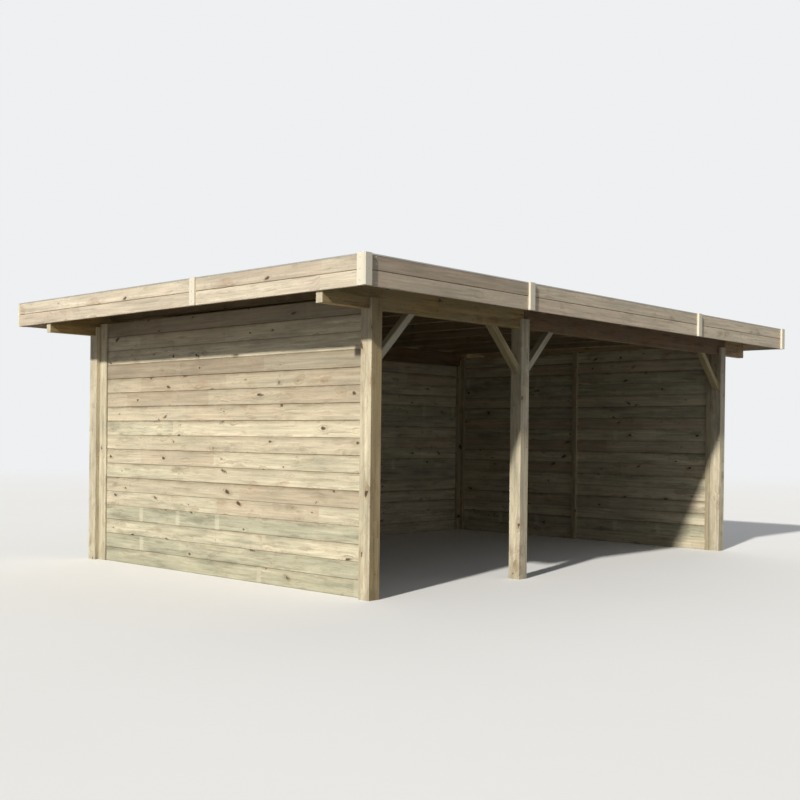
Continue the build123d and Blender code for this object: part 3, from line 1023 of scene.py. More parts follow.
def wall_of_boards(node, seed, rows_of_wall):
    """Stacks the boards of one wall where its CAD node stands and names the piece after it."""
    boards = bpy.context.scene.carport_boards
    low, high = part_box(node)
    size = high - low
    face_axis, outwards = outer_side(low, high)
    axis = 1 - face_axis
    rows = round(size.z / boards.cover)
    cover = size.z / rows
    thick = size[face_axis] - boards.wander

    def joint_of(through):
        on_a_face = min(through, thick - through) < TOUCHING
        return 0.0 if on_a_face else JOINT_DEPTH_DIRT

    bm = bmesh.new()
    layers = grain_layers(bm)
    section, caps = tongue_section(cover, thick, boards)
    rings = extrude_section(bm, layers, section, size[axis], 0.0, (0.5, 1.0), BOARD_STEPS, joint_of)
    close_ends(bm, rings, layers, caps)
    bm.normal_update()
    board = mesh_from(node + "_board", bm)
    values = {
        "Rows": rows,
        "Cover": cover,
        "Shrink": boards.gap * WIDTH_GAP_SHARE / cover,
        "Wander": boards.wander,
        "Seed": seed,
        "Material": timber("Wall Board Timber"),
    }
    mesh = run_tree(shared_group("Board Stack", board_stack_tree), board, values)
    bpy.data.meshes.remove(board)

    # Each board gets its kind, and the top board's tongue stays inside the wall
    draw = random.Random(seed)
    words = rows_of_wall or [(draw.choice(OTHER_KINDS), draw.choice(tuple(SEAMS))) for _ in range(rows)]
    first = draw.random()
    data = {name: mesh.attributes[name].data for name in ("row", "tone", "shade", "board", "seam")}
    for number, vert in enumerate(mesh.vertices):
        row = min(rows - 1, max(0, round(data["row"][number].value)))
        kind, seam = words[row]
        data["tone"][number].value, data["shade"][number].value = KINDS[kind]
        data["board"][number].value = (first + row * GOLDEN_SHARE) % 1
        upper_half = vert.co.y - row * cover > cover / 2
        data["seam"][number].value = SEAMS[seam if upper_half or row == 0 else words[row - 1][1]]
        vert.co.y = min(vert.co.y, size.z)

    # Local X runs along the wall, Y up it and Z from its outer face inwards
    depth = Vector((0, 0, 0))
    depth[face_axis] = -outwards
    along = depth.cross(UP)
    origin = Vector(low)
    origin[face_axis] = (high if outwards > 0 else low)[face_axis]
    origin[axis] = (low if along[axis] > 0 else high)[axis]
    mesh.transform(frame_matrix(origin, along, UP, depth))
    return place_piece(node.replace("_boards", "_cladding"), mesh, (node,))


def frame_matrix(origin, x_axis, y_axis, z_axis):
    """Moves local axes onto the given ones."""
    turn = Matrix((x_axis, y_axis, z_axis)).transposed().to_4x4()
    turn.translation = origin
    return turn


class CARPORT_OT_walls(bpy.types.Operator):
    """Clad the three walls in tongue and groove boards"""

    bl_idname = "carport.walls"
    bl_label = "Wall Boards"

    def execute(self, context):
        for node, _, seed, rows_of_wall in WALLS:
            wall_of_boards(node, seed, rows_of_wall)
        return {"FINISHED"}


# Frame


class CARPORT_OT_frame(bpy.types.Operator):
    """Finish the posts, beams, braces, studs and joists"""

    bl_idname = "carport.frame"
    bl_label = "Frame"

    def execute(self, context):
        for node in POST_NODES:
            dress(node, timber("Near Post Timber Painted Shade" if node == "front_left_post" else "Post Timber"))
        for node in BEAM_NODES:
            dress(node, timber("Left Beam Timber" if node.endswith("left") else "Right Beam Timber Painted Shade"))
        for node in RISING_BRACES:
            dress(node, timber("Rising Brace Timber"))
        for node in FALLING_BRACES:
            dress(node, timber("Falling Brace Timber"))
        for node in STUD_NODES:
            dress(node, timber("Stud Timber"))
        dress("roof_joists", timber("Joist Timber Painted Shade"))
        return {"FINISHED"}


# Planks: fascia, trims, strips and end boards

# Seeds of what is drawn, and the ranges that tones are drawn from
FASCIA_SEED = 5
END_BOARD_SEED = 9
FASCIA_TONES = (0.38, 0.72)
TRIM_TONES = (0.4, 0.6)
UPRIGHT_TONES = (0.42, 0.66)
# Gap and vee between the two boards of a fascia
FASCIA_GAP = 0.003
FASCIA_VEE = 0.004
# Gap between the two boards of a corner trim
TRIM_GAP = 0.0004
# The near corner trim's front board is darker than its side board, as painted shade
FRONT_TRIM_PAINTED_SHADE = 0.74
# Tone and shade of the lower and the upper fascia board, where they stand out from the rest
FASCIA_BOARDS = {
    "front_fascia_left": ((0.66, 0.86), (0.70, 0.72)),
    "front_fascia_middle": ((0.62, 1.08), (0.58, 1.0)),
    "front_fascia_right": ((0.56, 1.04), (0.56, 1.10)),
    "left_fascia_front": ((0.50, 1.06), (0.56, 0.90)),
    "left_fascia_back": ((0.54, 0.98), (0.50, 1.05)),
}


class Planks:
    """Planks that become one piece."""

    def __init__(self):
        self.bm = bmesh.new()
        self.layers = grain_layers(self.bm)

    def add(self, low, high, axis, face, kind, board, steps=4, **edges):
        """A plank between two corners of a box. Its grain runs along an axis, and face is its outer side."""
        low, high = Vector(low), Vector(high)
        size = high - low
        face_axis, outwards = face
        across_axis = 3 - axis - face_axis
        section, caps = square_section(size[across_axis], size[face_axis], **edges)
        before = len(self.bm.verts)
        rings = extrude_section(self.bm, self.layers, section, size[axis], board, kind, steps)
        close_ends(self.bm, rings, self.layers, caps)
        self.bm.verts.ensure_lookup_table()
        for vert in self.bm.verts[before:]:
            along, across, through = vert.co
            vert.co[axis] = low[axis] + along
            vert.co[across_axis] = low[across_axis] + across
            vert.co[face_axis] = high[face_axis] - through if outwards > 0 else low[face_axis] + through

    def finish(self, name, material, slot, node):
        bmesh.ops.recalc_face_normals(self.bm, faces=self.bm.faces)
        return place_piece(name, mesh_from(name, self.bm, material), (node,))


def fascia_piece(node, draw):
    """Two fascia boards, one above the other, where the CAD node stands."""
    edge = bpy.context.scene.carport_boards.round_over
    low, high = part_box(node)
    size = high - low
    face = outer_side(low, high)
    axis = 1 - face[0]
    seam = low.z + size.z / 2
    drawn = [(draw.uniform(*FASCIA_TONES), 1.0) for _ in range(2)]
    low_kind, high_kind = FASCIA_BOARDS.get(node, drawn)
    low_end = (high.x, high.y, seam - FASCIA_GAP / 2)
    high_start = (low.x, low.y, seam + FASCIA_GAP / 2)
    planks = Planks()
    planks.add(low, low_end, axis, face, low_kind, draw.random(), edge=edge, top_vee=FASCIA_VEE)
    planks.add(high_start, high, axis, face, high_kind, draw.random(), edge=edge, low_vee=FASCIA_VEE)
    return planks.finish(node + "_boards", timber("Fascia Timber"), "fascia_board", node)


def trim_sides(node):
    """A front corner trim's box, its side of the carport, and the thickness of its two boards."""
    low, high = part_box(node)
    thick = (high.y - low.y) - (high.x - low.x)
    return low, high, 1 if low.x + high.x > 0 else -1, thick


def trim_piece(node, draw):
    """The two boards of a front corner trim; the one across the front covers the other's edge."""
    edge = bpy.context.scene.carport_boards.round_over
    low, high, side, thick = trim_sides(node)
    front_high = Vector((high.x, low.y + thick, high.z))
    side_low = Vector((low.x, low.y + thick + TRIM_GAP, low.z))
    side_high = Vector(high)
    if side < 0:
        side_high.x = low.x + thick
    else:
        side_low.x = high.x - thick
    planks = Planks()
    # Painted shade on the near trim's front board
    front_kind = (draw.uniform(*TRIM_TONES), FRONT_TRIM_PAINTED_SHADE if side < 0 else 1.0)
    planks.add(low, front_high, 2, (1, -1), front_kind, draw.random(), edge=edge)
    side_kind = (draw.uniform(*TRIM_TONES), 1.0)
    planks.add(side_low, side_high, 2, (0, side), side_kind, draw.random(), edge=edge)
    return planks.finish(node + "_boards", timber("Trim Timber"), "trim_board", node)


def solid_boxes(node):
    """Boxes of the separate solids in a CAD node, from its loose parts."""
    bm = bmesh.new()
    bm.from_mesh(NODES[node].data)
    bmesh.ops.remove_doubles(bm, verts=bm.verts, dist=TOUCHING)
    unseen = set(bm.verts)
    boxes = []
    while unseen:
        stack = [unseen.pop()]
        found = []
        while stack:
            vert = stack.pop()
            found.append(vert.co.copy())
            for edge in vert.link_edges:
                other = edge.other_vert(vert)
                if other in unseen:
                    unseen.remove(other)
                    stack.append(other)
        low = Vector([min(co[i] for co in found) for i in range(3)])
        high = Vector([max(co[i] for co in found) for i in range(3)])
        boxes.append((low, high))
    bm.free()
    boxes.sort(key=lambda pair: tuple(round(v, 4) for v in pair[0]))
    return boxes


def upright_planks(node, draw, material, slot, name):
    """Upright planks with eased edges in place of each solid of a CAD node."""
    edge = bpy.context.scene.carport_boards.round_over
    planks = Planks()
    for low, high in solid_boxes(node):
        kind = (draw.uniform(*UPRIGHT_TONES), 1.0)
        planks.add(low, high, 2, outer_side(low, high), kind, draw.random(), edge=edge)
    return planks.finish(name, material, slot, node)


class CARPORT_OT_fascia(bpy.types.Operator):
    """Put up the fascia boards, corner trims and cover strips"""

    bl_idname = "carport.fascia"
    bl_label = "Fascia and Trims"

    def execute(self, context):
        draw = random.Random(FASCIA_SEED)
        for node in FRONT_FASCIAS + SIDE_FASCIAS:
            fascia_piece(node, draw)
        for node in CORNER_TRIMS:
            trim_piece(node, draw)
        for node in STRIP_NODES:
            upright_planks(node, draw, timber("Trim Timber"), "trim_board", node + "_planks")
        return {"FINISHED"}


class CARPORT_OT_end_boards(bpy.types.Operator):
    """Fit the upright boards that close the back ends of the side walls"""

    bl_idname = "carport.end_boards"
    bl_label = "End Boards"

    def execute(self, context):
        draw = random.Random(END_BOARD_SEED)
        for node in END_BOARD_NODES:
            upright_planks(node, draw, timber("Wall Board Timber"), "wall_board", node + "_plank")
        return {"FINISHED"}


# Roof

# Thickness of the felt, the room under it, and how far a lap lifts it
FELT_THICK = 0.0028
FELT_ROOM = 0.0016
LAP_LIFT = 0.0022
LAP_ROOM = 0.001
# Height of the felt's ripples and of its unevenness
FELT_RIPPLE = 0.0006
FELT_UNEVEN = 0.0003
# Divisions of a strip of felt, along it and across it
FELT_CELLS = 60
FELT_ROWS = 6
# The felt's upturn: its thickness, its fillet's reach, bend and toe, and its top below the cap
UPTURN_THICK = 0.003
UPTURN_FILLET = 0.018
UPTURN_BEND = (0.005, 0.010)
UPTURN_TOE = 0.0052
UPTURN_BELOW_CAP = 0.0005
# Seed of the felt's unevenness, and the waves of its ripples along and across, in radians a metre
FELT_SEED = 3
FELT_WAVES = (2.1, 5.0)
# A deck board's draws: its tone, and where along the roof its butt joint lies
DECK_SEED = 17
DECK_TONES = (0.35, 0.85)
DECK_JOINTS = (0.3, 0.7)
# Half the gap between two deck boards, and their eased edge
DECK_HALF_GAP = 0.0005
DECK_EDGE = 0.001

# Colours of the felt's grit, dirt and laps, and of the dull metal
FELT_GRIT = (0.15, 0.155, 0.16, 1.0)
FELT_DUST = (0.125, 0.125, 0.118, 1.0)
FELT_SILT = (0.16, 0.155, 0.13, 1.0)
FELT_PALE = (0.082, 0.085, 0.092, 1.0)
BITUMEN = (0.028, 0.029, 0.032, 1.0)
DULL_METAL = (0.56, 0.54, 0.50, 1.0)


def felt_strips():
    """How many strips of felt cover the roof, and how far apart they start."""
    low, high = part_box("roof_membrane")
    count = max(1, round((high.y - low.y) / bpy.context.scene.carport_roof.felt_width))
    return count, (high.y - low.y) / count


def felt_material():
    """Mineral felt, with a tone for each strip and bitumen that ran out of the laps."""
    roof = bpy.context.scene.carport_roof
    material, w, shader, place = new_material("Roofing Felt")
    grit = w.noise(place, 900.0, roughness=0.7)
    cloud = w.noise(place, 1.4, detail=5.0, roughness=0.6)
    puddle = w.spread(w.noise(place, 0.55, detail=3.0), 0.5, 0.68, smooth=True)
    colour = w.mix(w.spread(grit, 0.4, 0.7), opaque(roof.felt), FELT_GRIT)
    colour = w.mix(w.times(w.spread(cloud, 0.4, 0.75), 0.5), colour, FELT_DUST)
    colour = w.mix(w.times(puddle, 0.35), colour, FELT_SILT)
    step = felt_strips()[1]
    beyond_lap = w.minus(w.split(place)[1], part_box("roof_membrane")[0].y + roof.felt_lap)
    strip = w.math("FLOOR", w.math("DIVIDE", beyond_lap, step))
    colour = w.mix(w.times(w.lot(strip), 0.4), colour, FELT_PALE)
    uneven = w.sway(w.noise(place, 14.0, detail=3.0), 0.016)
    to_lap = w.math("PINGPONG", w.plus(beyond_lap, uneven), step / 2)
    bleed = w.spread(to_lap, 0.005, 0.014, 0.85, 0.0, smooth=True)
    bleed = w.times(bleed, w.math("GREATER_THAN", beyond_lap, step / 2))
    colour = w.mix(bleed, colour, BITUMEN)
    rough = w.minus(w.spread(grit, 0.3, 0.7, 0.82, 0.95), w.times(bleed, 0.35))
    wire_surface(w, shader, colour, rough, w.times(grit, 0.0007))
    return material


def edge_metal_material():
    """Dull metal that weather has clouded."""
    material, w, shader, place = new_material("Edge Cap Metal")
    cloud = w.noise(place, 6.0, detail=5.0, roughness=0.65)
    metal = opaque(bpy.context.scene.carport_roof.metal)
    colour = w.mix(w.spread(cloud, 0.35, 0.7), metal, DULL_METAL)
    wire_surface(w, shader, colour, w.spread(cloud, 0.3, 0.7, 0.38, 0.56))
    shader.inputs["Metallic"].default_value = 0.5
    return material


def felt_strip(bm, strip, low, high, draw):
    """One closed strip of felt, flat at its rim, rippled inside it and lifted where it lies on the next."""
    count, step = felt_strips()
    lap = bpy.context.scene.carport_roof.felt_lap
    y0 = low.y + strip * step
    y1 = min(high.y, y0 + step + (lap if strip < count - 1 else 0.0))
    tops, bases = [], []
    for i in range(FELT_CELLS + 1):
        x = low.x + (high.x - low.x) * i / FELT_CELLS
        top_row, base_row = [], []
        for j in range(FELT_ROWS + 1):
            y = y0 + (y1 - y0) * j / FELT_ROWS
            lift = LAP_LIFT * max(0.0, (y - (y0 + step)) / lap)
            ripple = FELT_RIPPLE * math.sin(x * FELT_WAVES[0] + strip) * math.sin(y * FELT_WAVES[1])
            ripple += draw.uniform(0, FELT_UNEVEN)
            inside = 0 < i < FELT_CELLS and 0 < j < FELT_ROWS
            top = low.z + FELT_THICK + FELT_ROOM + lift + (ripple if inside else 0.0)
            top_row.append(bm.verts.new((x, y, top)))
            base_row.append(bm.verts.new((x, y, low.z + (LAP_ROOM + lift if lift else 0.0))))
        tops.append(top_row)
        bases.append(base_row)
    for i in range(FELT_CELLS):
        for j in range(FELT_ROWS):
            bm.faces.new((tops[i][j], tops[i + 1][j], tops[i + 1][j + 1], tops[i][j + 1]))
            bm.faces.new((bases[i][j], bases[i][j + 1], bases[i + 1][j + 1], bases[i + 1][j]))
    rim = [(i, 0) for i in range(FELT_CELLS)] + [(FELT_CELLS, j) for j in range(FELT_ROWS)]
    rim += [(i, FELT_ROWS) for i in range(FELT_CELLS, 0, -1)] + [(0, j) for j in range(FELT_ROWS, 0, -1)]
    join_rings(bm, [tops[i][j] for i, j in rim], [bases[i][j] for i, j in rim])


def felt_upturn(bm, low, high):
    """The felt's edge, which turns up inside the fascia all the way round, over a fillet."""
    top = high.z - UPTURN_BELOW_CAP
    foot = UPTURN_THICK + UPTURN_FILLET
    profile = [
        (0.0, low.z),
        (0.0, top),
        (UPTURN_THICK, top),
        (UPTURN_THICK, low.z + UPTURN_FILLET),
        (UPTURN_THICK + UPTURN_BEND[0], low.z + UPTURN_BEND[1]),
        (foot, low.z + UPTURN_TOE),
        (foot, low.z),
    ]
    loops = []
    for inset, z in profile:
        left, right = low.x + inset, high.x - inset
        near, far = low.y + inset, high.y - inset
        corners = [(left, near), (right, near), (right, far), (left, far)]
        loops.append([bm.verts.new((x, y, z)) for x, y in corners])
    for first, second in zip(loops, loops[1:] + loops[:1]):
        join_rings(bm, first, second)


def felt_piece():
    """Strips of felt laid from side to side, each lapping the next, and turned up at the edges."""
    low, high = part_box("roof_membrane")
    draw = random.Random(FELT_SEED)
    bm = bmesh.new()
    for strip in range(felt_strips()[0]):
        felt_strip(bm, strip, low, high, draw)
    felt_upturn(bm, low, high)
    bmesh.ops.recalc_face_normals(bm, faces=bm.faces)
    mesh = mesh_from("roof_felt", bm, felt_material())
    return place_piece("roof_felt", mesh, ("roof_membrane",))


def deck_piece():
    """The boards of the roof deck, with vees on the side that shows from below."""
    boards = bpy.context.scene.carport_boards
    low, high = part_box("roof_deck")
    count = round((high.y - low.y) / boards.deck_board)
    width = (high.y - low.y) / count
    draw = random.Random(DECK_SEED)
    planks = Planks()
    for number in range(count):
        y0 = low.y + number * width + DECK_HALF_GAP
        y1 = low.y + number * width + width - DECK_HALF_GAP
        joint = low.x + draw.uniform(*DECK_JOINTS) * (high.x - low.x)
        for x0, x1 in ((low.x, joint - DECK_HALF_GAP), (joint + DECK_HALF_GAP, high.x)):
            kind = (draw.uniform(*DECK_TONES), 1.0)
            edges = {"edge": DECK_EDGE, "top_vee": boards.vee, "low_vee": boards.vee}
            ends = (x0, y0, low.z), (x1, y1, high.z)
            planks.add(*ends, 0, (2, -1), kind, draw.random(), steps=2, **edges)
    return planks.finish("roof_deck_boards", timber("Deck Timber Painted Shade"), "rough_timber", "roof_deck")


class CARPORT_OT_roof(bpy.types.Operator):
    """Lay the roof deck, the felt and the edge cap"""

    bl_idname = "carport.roof"
    bl_label = "Roof"

    def execute(self, context):
        deck_piece()
        felt_piece()
        dress("roof_edge_cap", edge_metal_material())
        return {"FINISHED"}


# Screws and nails

# Corners round a head
HEAD_SIDES = 8
# Shares of a head's rise and radius at its shoulder and its crown, and of its radius in the recess
SHOULDER_RISE = 0.5
CROWN = 0.82
RECESS_ARM = 0.5
RECESS_NOTCH = 0.18
RECESS_DEPTH = 0.35
# Screws up a strip or trim, and up an end board
STRIP_SCREWS = 3
END_BOARD_SCREWS = 6
# Colours of stain on the metal, of screws and of nails
RUST = (0.30, 0.25, 0.18, 1.0)
SCREW_STEEL = (0.60, 0.57, 0.48, 1.0)
NAIL_ZINC = (0.36, 0.34, 0.30, 1.0)
# Fascia screws: how far in from its ends, how far apart, and at which shares of its height
FASCIA_SCREW_INSET = 0.11
FASCIA_SCREW_STEP = 0.69
FASCIA_SCREW_SHARES = (0.12, 0.43, 0.70, 0.92)
# Screws up a board: how far in from its ends
UPRIGHT_SCREW_INSET = 0.035
# Nails in a wall board: at which shares of its height, and how far a hand strays up and along
NAIL_SHARES = (0.22, 0.78)
NAIL_STRAY_UP = 0.004
NAIL_STRAY_ALONG = 0.008
# Brace screws: at which shares of the brace, and how far off its middle
BRACE_SCREW_SHARES = (0.09, 0.91)
BRACE_SCREW_SIDES = (-0.016, 0.016)


def fixing_metal(name, colour, metallic, roughness):
    """Metal of screws or nails, stained by the timber."""
    material, w, shader, place = new_material(name)
    stain = w.noise(place, 160.0, detail=3.0)
    mixed = w.mix(w.spread(stain, 0.45, 0.8), colour, RUST)
    wire_surface(w, shader, mixed, w.spread(stain, 0.3, 0.7, roughness, roughness + 0.2))
    shader.inputs["Metallic"].default_value = metallic
    return material


def head_mesh(name, radius, rise, recess):
    """A low screw or nail head that faces +Z, with a cross recess where it has one."""
    bm = bmesh.new()
    turns = [2 * math.pi * i / HEAD_SIDES for i in range(HEAD_SIDES)]

    def ring_of(z, *reaches):
        """Corners round the head, at reaches that take turns."""
        ring = []
        for number, turn in enumerate(turns):
            reach = reaches[number % len(reaches)]
            ring.append(bm.verts.new((reach * math.cos(turn), reach * math.sin(turn), z)))
        return ring

    rings = [ring_of(0.0, radius), ring_of(rise * SHOULDER_RISE, radius), ring_of(rise, radius * CROWN)]
    if recess:
        rings.append(ring_of(rise, radius * RECESS_ARM, radius * RECESS_NOTCH))
    for first, second in zip(rings, rings[1:]):
        for i in range(HEAD_SIDES):
            j = (i + 1) % HEAD_SIDES
            bm.faces.new((first[i], first[j], second[j], second[i]))
    if recess:
        bottom = bm.verts.new((0.0, 0.0, rise - radius * RECESS_DEPTH))
        for corner, following in zip(rings[-1], rings[-1][1:] + rings[-1][:1]):
            bm.faces.new((corner, following, bottom))
    else:
        bm.faces.new(rings[-1])
    bm.faces.new(rings[0][::-1])
    return mesh_from(name, bm)


def heads_piece(name, places, head, material, seed):
    """One mesh of fixing heads at (place, facing) pairs."""
    points = bpy.data.meshes.new(name + "_places")
    points.from_pydata([tuple(place) for place, _ in places], [], [])
    facing = points.attributes.new("facing", "FLOAT_VECTOR", "POINT")
    for number, (_, way) in enumerate(places):
        facing.data[number].vector = way
    holder = link_object(name + "_head", head)
    values = {"Head": holder, "Seed": seed, "Material": material}
    mesh = run_tree(shared_group("Fixing Heads", fixing_tree), points, values)
    bpy.data.objects.remove(holder)
    bpy.data.meshes.remove(head)
    bpy.data.meshes.remove(points)
    return place_piece(name, mesh)


def on_side(low, high, side, at, z, sunk=0.0):
    """The place of a fixing on an upright side of a box, and the way that it faces."""
    face_axis, outwards = side
    place, way = Vector((0, 0, z)), Vector((0, 0, 0))
    place[1 - face_axis] = at
    place[face_axis] = (high if outwards > 0 else low)[face_axis] - outwards * sunk
    way[face_axis] = outwards
    return place, way


def fascia_screws(node):
    """Two screws a board near each end of a fascia length and at each second joist between."""
    low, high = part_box(node)
    side = outer_side(low, high)
    axis = 1 - side[0]
    length, height = high[axis] - low[axis], high.z - low.z
    count = max(2, round(length / FASCIA_SCREW_STEP) + 1)
    places = []
    for i in range(count):
        at = low[axis] + FASCIA_SCREW_INSET + (length - 2 * FASCIA_SCREW_INSET) * i / (count - 1)
        places += [on_side(low, high, side, at, low.z + height * share) for share in FASCIA_SCREW_SHARES]
    return places


def upright_screws(low, high, side, count):
    """Screws up the middle of an upright board."""
    axis = 1 - side[0]
    middle = (low[axis] + high[axis]) / 2
    start, reach = low.z + UPRIGHT_SCREW_INSET, high.z - low.z - 2 * UPRIGHT_SCREW_INSET
    return [on_side(low, high, side, middle, start + reach * i / (count - 1)) for i in range(count)]


def wall_nails(node, stud_node):
    """Two nails a board at each stud, with a little of a hand's unevenness."""
    boards = bpy.context.scene.carport_boards
    low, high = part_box(node)
    side = outer_side(low, high)
    axis = 1 - side[0]
    rows = round((high.z - low.z) / boards.cover)
    cover = (high.z - low.z) / rows
    draw = random.Random(rows * 100 + side[0])
    places = []
    for stud_low, stud_high in solid_boxes(stud_node):
        if stud_high[axis] < low[axis] or stud_low[axis] > high[axis]:
            continue
        middle = (stud_low[axis] + stud_high[axis]) / 2
        for row in range(rows):
            for share in NAIL_SHARES:
                z = low.z + cover * (row + share) + draw.uniform(-NAIL_STRAY_UP, NAIL_STRAY_UP)
                at = middle + draw.uniform(-NAIL_STRAY_ALONG, NAIL_STRAY_ALONG)
                places.append(on_side(low, high, side, at, z, boards.wander))
    return places


def brace_screws(node, way_x):
    """Two countersunk screws through each end of a brace, square to its lower edge, which faces way_x."""
    low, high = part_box(node)
    way = Vector((way_x, 0, -1)).normalized()
    middle = (low.y + high.y) / 2
    places = []
    for share in BRACE_SCREW_SHARES:
        reach = (high.x - low.x) * share
        x = low.x + reach if way_x > 0 else high.x - reach
        z = low.z + (high.z - low.z) * share
        places += [(Vector((x, middle + aside, z)), way) for aside in BRACE_SCREW_SIDES]
    return places


class CARPORT_OT_fixings(bpy.types.Operator):
    """Drive the screws and nails that show"""

    bl_idname = "carport.fixings"
    bl_label = "Screws and Nails"

    def execute(self, context):
        fixings = context.scene.carport_fixings
        screws = []
        for node in FRONT_FASCIAS + SIDE_FASCIAS:
            screws += fascia_screws(node)
        for node in CORNER_TRIMS:
            low, high, side, thick = trim_sides(node)
            screws += upright_screws(low, high, (1, -1), STRIP_SCREWS)
            screws += upright_screws(low + Vector((0, thick, 0)), high, (0, side), STRIP_SCREWS)
        for node in STRIP_NODES:
            for low, high in solid_boxes(node):
                screws += upright_screws(low, high, outer_side(low, high), STRIP_SCREWS)
        for node in END_BOARD_NODES:
            low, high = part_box(node)
            screws += upright_screws(low, high, outer_side(low, high), END_BOARD_SCREWS)
        for node in RISING_BRACES:
            screws += brace_screws(node, 1)
        for node in FALLING_BRACES:
            screws += brace_screws(node, -1)
        steel = fixing_metal("Screw Steel", SCREW_STEEL, 0.6, 0.40)
        head = head_mesh("screw_head", fixings.screw_head, fixings.head_rise, True)
        heads_piece("screw_heads", screws, head, steel, fixings.seed)

        nails = []
        for node, stud_node, _, _ in WALLS:
            nails += wall_nails(node, stud_node)
        zinc = fixing_metal("Nail Zinc", NAIL_ZINC, 0.8, 0.45)
        head = head_mesh("nail_head", fixings.nail_head, fixings.head_rise, False)
        heads_piece("nail_heads", nails, head, zinc, fixings.seed + 1)
        return {"FINISHED"}


# Studio

# How far the floor reaches each way
FLOOR_REACH = 60.0
# Where the floor begins to pass into the backdrop, and where it has
FLOOR_FADE = (9.0, 34.0)
# Colours of the light from all round, and of the floor's own light where the backdrop takes over
SKY_COLOUR = (0.93, 0.96, 1.0, 1.0)
BLACK = (0.0, 0.0, 0.0, 1.0)
# Each lamp's spread in degrees, its colour and the side that it shines from
KEY_LAMP = (2.5, (1.0, 0.965, 0.90), (-0.94, -0.25, 0.60))
FILL_LAMP = (70.0, (0.96, 0.98, 1.0), (0.75, 0.65, 0.45))
# The camera as it was found from the photograph's perspective: metres, radians and millimetres
CAMERA_PLACE = (-9.0975, -8.0605, 1.2774)
CAMERA_YAW = 0.8220
CAMERA_PITCH = -0.0084
CAMERA_ROLL = 0.0113
CAMERA_LENS = 49.78
CAMERA_SENSOR = 36.0
CAMERA_SHIFT_UP = 0.0585
VIEW_REACH = 500.0


class CARPORT_OT_stage(bpy.types.Operator):
    """Lay the floor, hang the lights and set up the camera"""

    bl_idname = "carport.stage"
    bl_label = "Floor, Lights and Camera"

    def execute(self, context):
        stage = context.scene.carport_stage
        scene = context.scene
        scene.view_settings.view_transform = "Standard"
        if stage.show_floor:
            floor = link_object("studio_floor", floor_mesh(stage))
        scene.world = studio_world(stage)
        hang_lamp("key", stage.key_light, *KEY_LAMP)
        hang_lamp("fill", stage.fill_light, *FILL_LAMP)

        shot = bpy.data.cameras.new("camera")
        shot.lens = CAMERA_LENS
        shot.sensor_width = CAMERA_SENSOR
        shot.shift_y = CAMERA_SHIFT_UP
        shot.clip_end = VIEW_REACH
        camera = link_object("camera", shot)
        camera.matrix_world = camera_matrix(Vector(CAMERA_PLACE), CAMERA_YAW, CAMERA_PITCH, CAMERA_ROLL)
        scene.camera = camera
        return {"FINISHED"}


def floor_mesh(stage):
    mesh = bpy.data.meshes.new("studio_floor")
    reach = FLOOR_REACH
    corners = [(-reach, -reach, 0.0), (reach, -reach, 0.0), (reach, reach, 0.0), (-reach, reach, 0.0)]
    mesh.from_pydata(corners, [], [(0, 1, 2, 3)])
    mesh.materials.append(floor_material(stage))
    mesh.update()
    return mesh


def floor_material(stage):
    """Pale to the camera, dull to the light that it throws back, and one with the backdrop far away."""
    material, w, shader, place = new_material("Studio Floor")
    cloud = w.noise(place, 0.35, detail=4.0)
    colour = w.mix(w.spread(cloud, 0.3, 0.7), opaque(stage.floor), opaque([c * 1.02 for c in stage.floor]))
    far = w.spread(w.vector("LENGTH", place), *FLOOR_FADE, smooth=True)
    colour = w.mix(far, colour, BLACK)
    seen = seen_by_eye(w)
    w.fill(shader.inputs["Base Color"], w.mix(seen, opaque([stage.floor_bounce] * 3), colour))
    w.fill(shader.inputs["Emission Color"], opaque(stage.backdrop))
    w.fill(shader.inputs["Emission Strength"], w.times(far, seen))
    shader.inputs["Roughness"].default_value = 0.9
    shader.inputs["Specular IOR Level"].default_value = 0.0
    return material


def studio_world(stage):
    """Even light from all round, and the backdrop where the camera sees past the floor."""
    world = bpy.data.worlds.new("Studio")
    world.use_nodes = True
    w = Wiring(world.node_tree)
    background = world.node_tree.nodes["Background"]
    seen = seen_by_eye(w)
    w.fill(background.inputs["Color"], w.mix(seen, SKY_COLOUR, opaque(stage.backdrop)))
    w.fill(background.inputs["Strength"], w.spread(seen, 0.0, 1.0, stage.sky_light, 1.0))
    return world


def seen_by_eye(w):
    """One where the camera sees a surface, directly or by glass or a reflection, and nought elsewhere."""
    path = w.node("ShaderNodeLightPath").outputs
    mirrored = w.math("MAXIMUM", path["Is Glossy Ray"], path["Is Transmission Ray"])
    return w.math("MAXIMUM", path["Is Camera Ray"], mirrored)


def hang_lamp(name, strength, spread_degrees, colour, side):
    """A far lamp that shines from a side, as broad as its spread."""
    lamp = bpy.data.lights.new(name, "SUN")
    lamp.energy = strength
    lamp.angle = math.radians(spread_degrees)
    lamp.color = colour
    link_object(name, lamp).rotation_euler = Vector(side).to_track_quat("Z", "Y").to_euler()


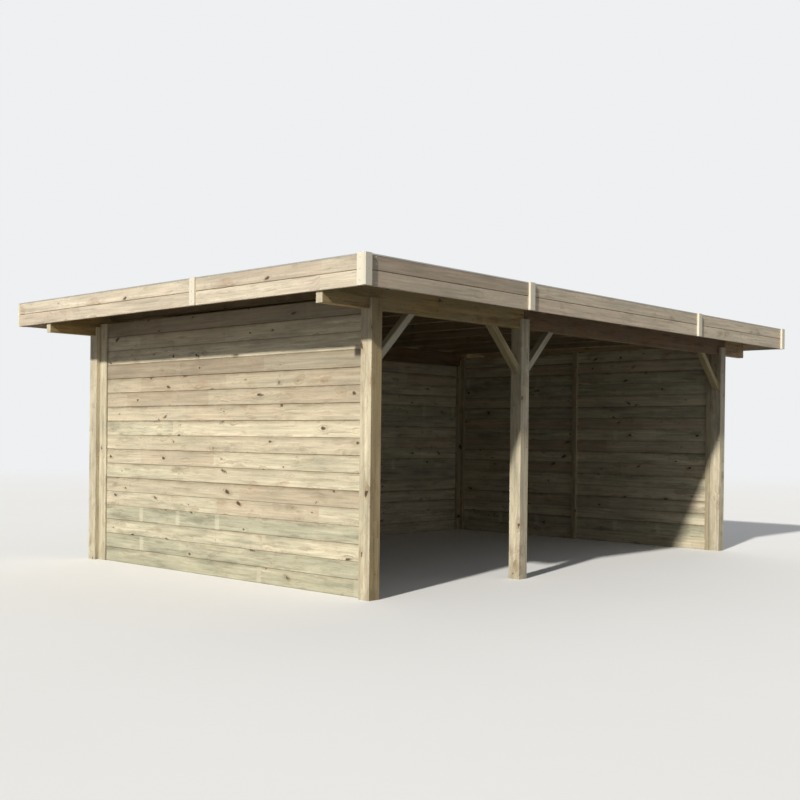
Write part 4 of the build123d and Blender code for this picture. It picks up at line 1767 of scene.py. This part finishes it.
def camera_matrix(place, yaw, pitch, roll):
    """Camera placed by its heading from +Y towards +X, its pitch and its roll."""
    forward = Vector((math.sin(yaw) * math.cos(pitch), math.cos(yaw) * math.cos(pitch), math.sin(pitch)))
    right = Vector((math.cos(yaw), -math.sin(yaw), 0.0))
    up = right.cross(forward)
    right_rolled = right * math.cos(roll) + up * math.sin(roll)
    up_rolled = up * math.cos(roll) - right * math.sin(roll)
    return frame_matrix(place, right_rolled, up_rolled, -forward)


# Panel and registration


class CARPORT_PT_panel(bpy.types.Panel):
    bl_label = "Timber Carport"
    bl_idname = "CARPORT_PT_panel"
    bl_space_type = "VIEW_3D"
    bl_region_type = "UI"
    bl_category = "Carport"

    def draw(self, context):
        layout = self.layout
        for operator in OPERATORS:
            layout.operator(operator.bl_idname)
        for name in GROUPS:
            group = getattr(context.scene, name)
            box = layout.box()
            for setting in group.__annotations__:
                box.prop(group, setting)


GROUPS = {
    "carport_boards": CarportBoardSettings,
    "carport_timber": CarportTimberSettings,
    "carport_roof": CarportRoofSettings,
    "carport_fixings": CarportFixingSettings,
    "carport_stage": CarportStageSettings,
}
OPERATORS = (
    CARPORT_OT_frame,
    CARPORT_OT_walls,
    CARPORT_OT_end_boards,
    CARPORT_OT_fascia,
    CARPORT_OT_roof,
    CARPORT_OT_fixings,
    CARPORT_OT_stage,
)


def register():
    for name, group in GROUPS.items():
        bpy.utils.register_class(group)
        setattr(bpy.types.Scene, name, PointerProperty(type=group))
    for operator in OPERATORS:
        bpy.utils.register_class(operator)
    bpy.utils.register_class(CARPORT_PT_panel)


def unregister():
    bpy.utils.unregister_class(CARPORT_PT_panel)
    for operator in reversed(OPERATORS):
        bpy.utils.unregister_class(operator)
    for name, group in reversed(list(GROUPS.items())):
        delattr(bpy.types.Scene, name)
        bpy.utils.unregister_class(group)


def main():
    register()
    bpy.ops.carport.frame()
    bpy.ops.carport.walls()
    bpy.ops.carport.end_boards()
    bpy.ops.carport.fascia()
    bpy.ops.carport.roof()
    bpy.ops.carport.fixings()
    bpy.ops.carport.stage()


if __name__ == "__main__":
    main()
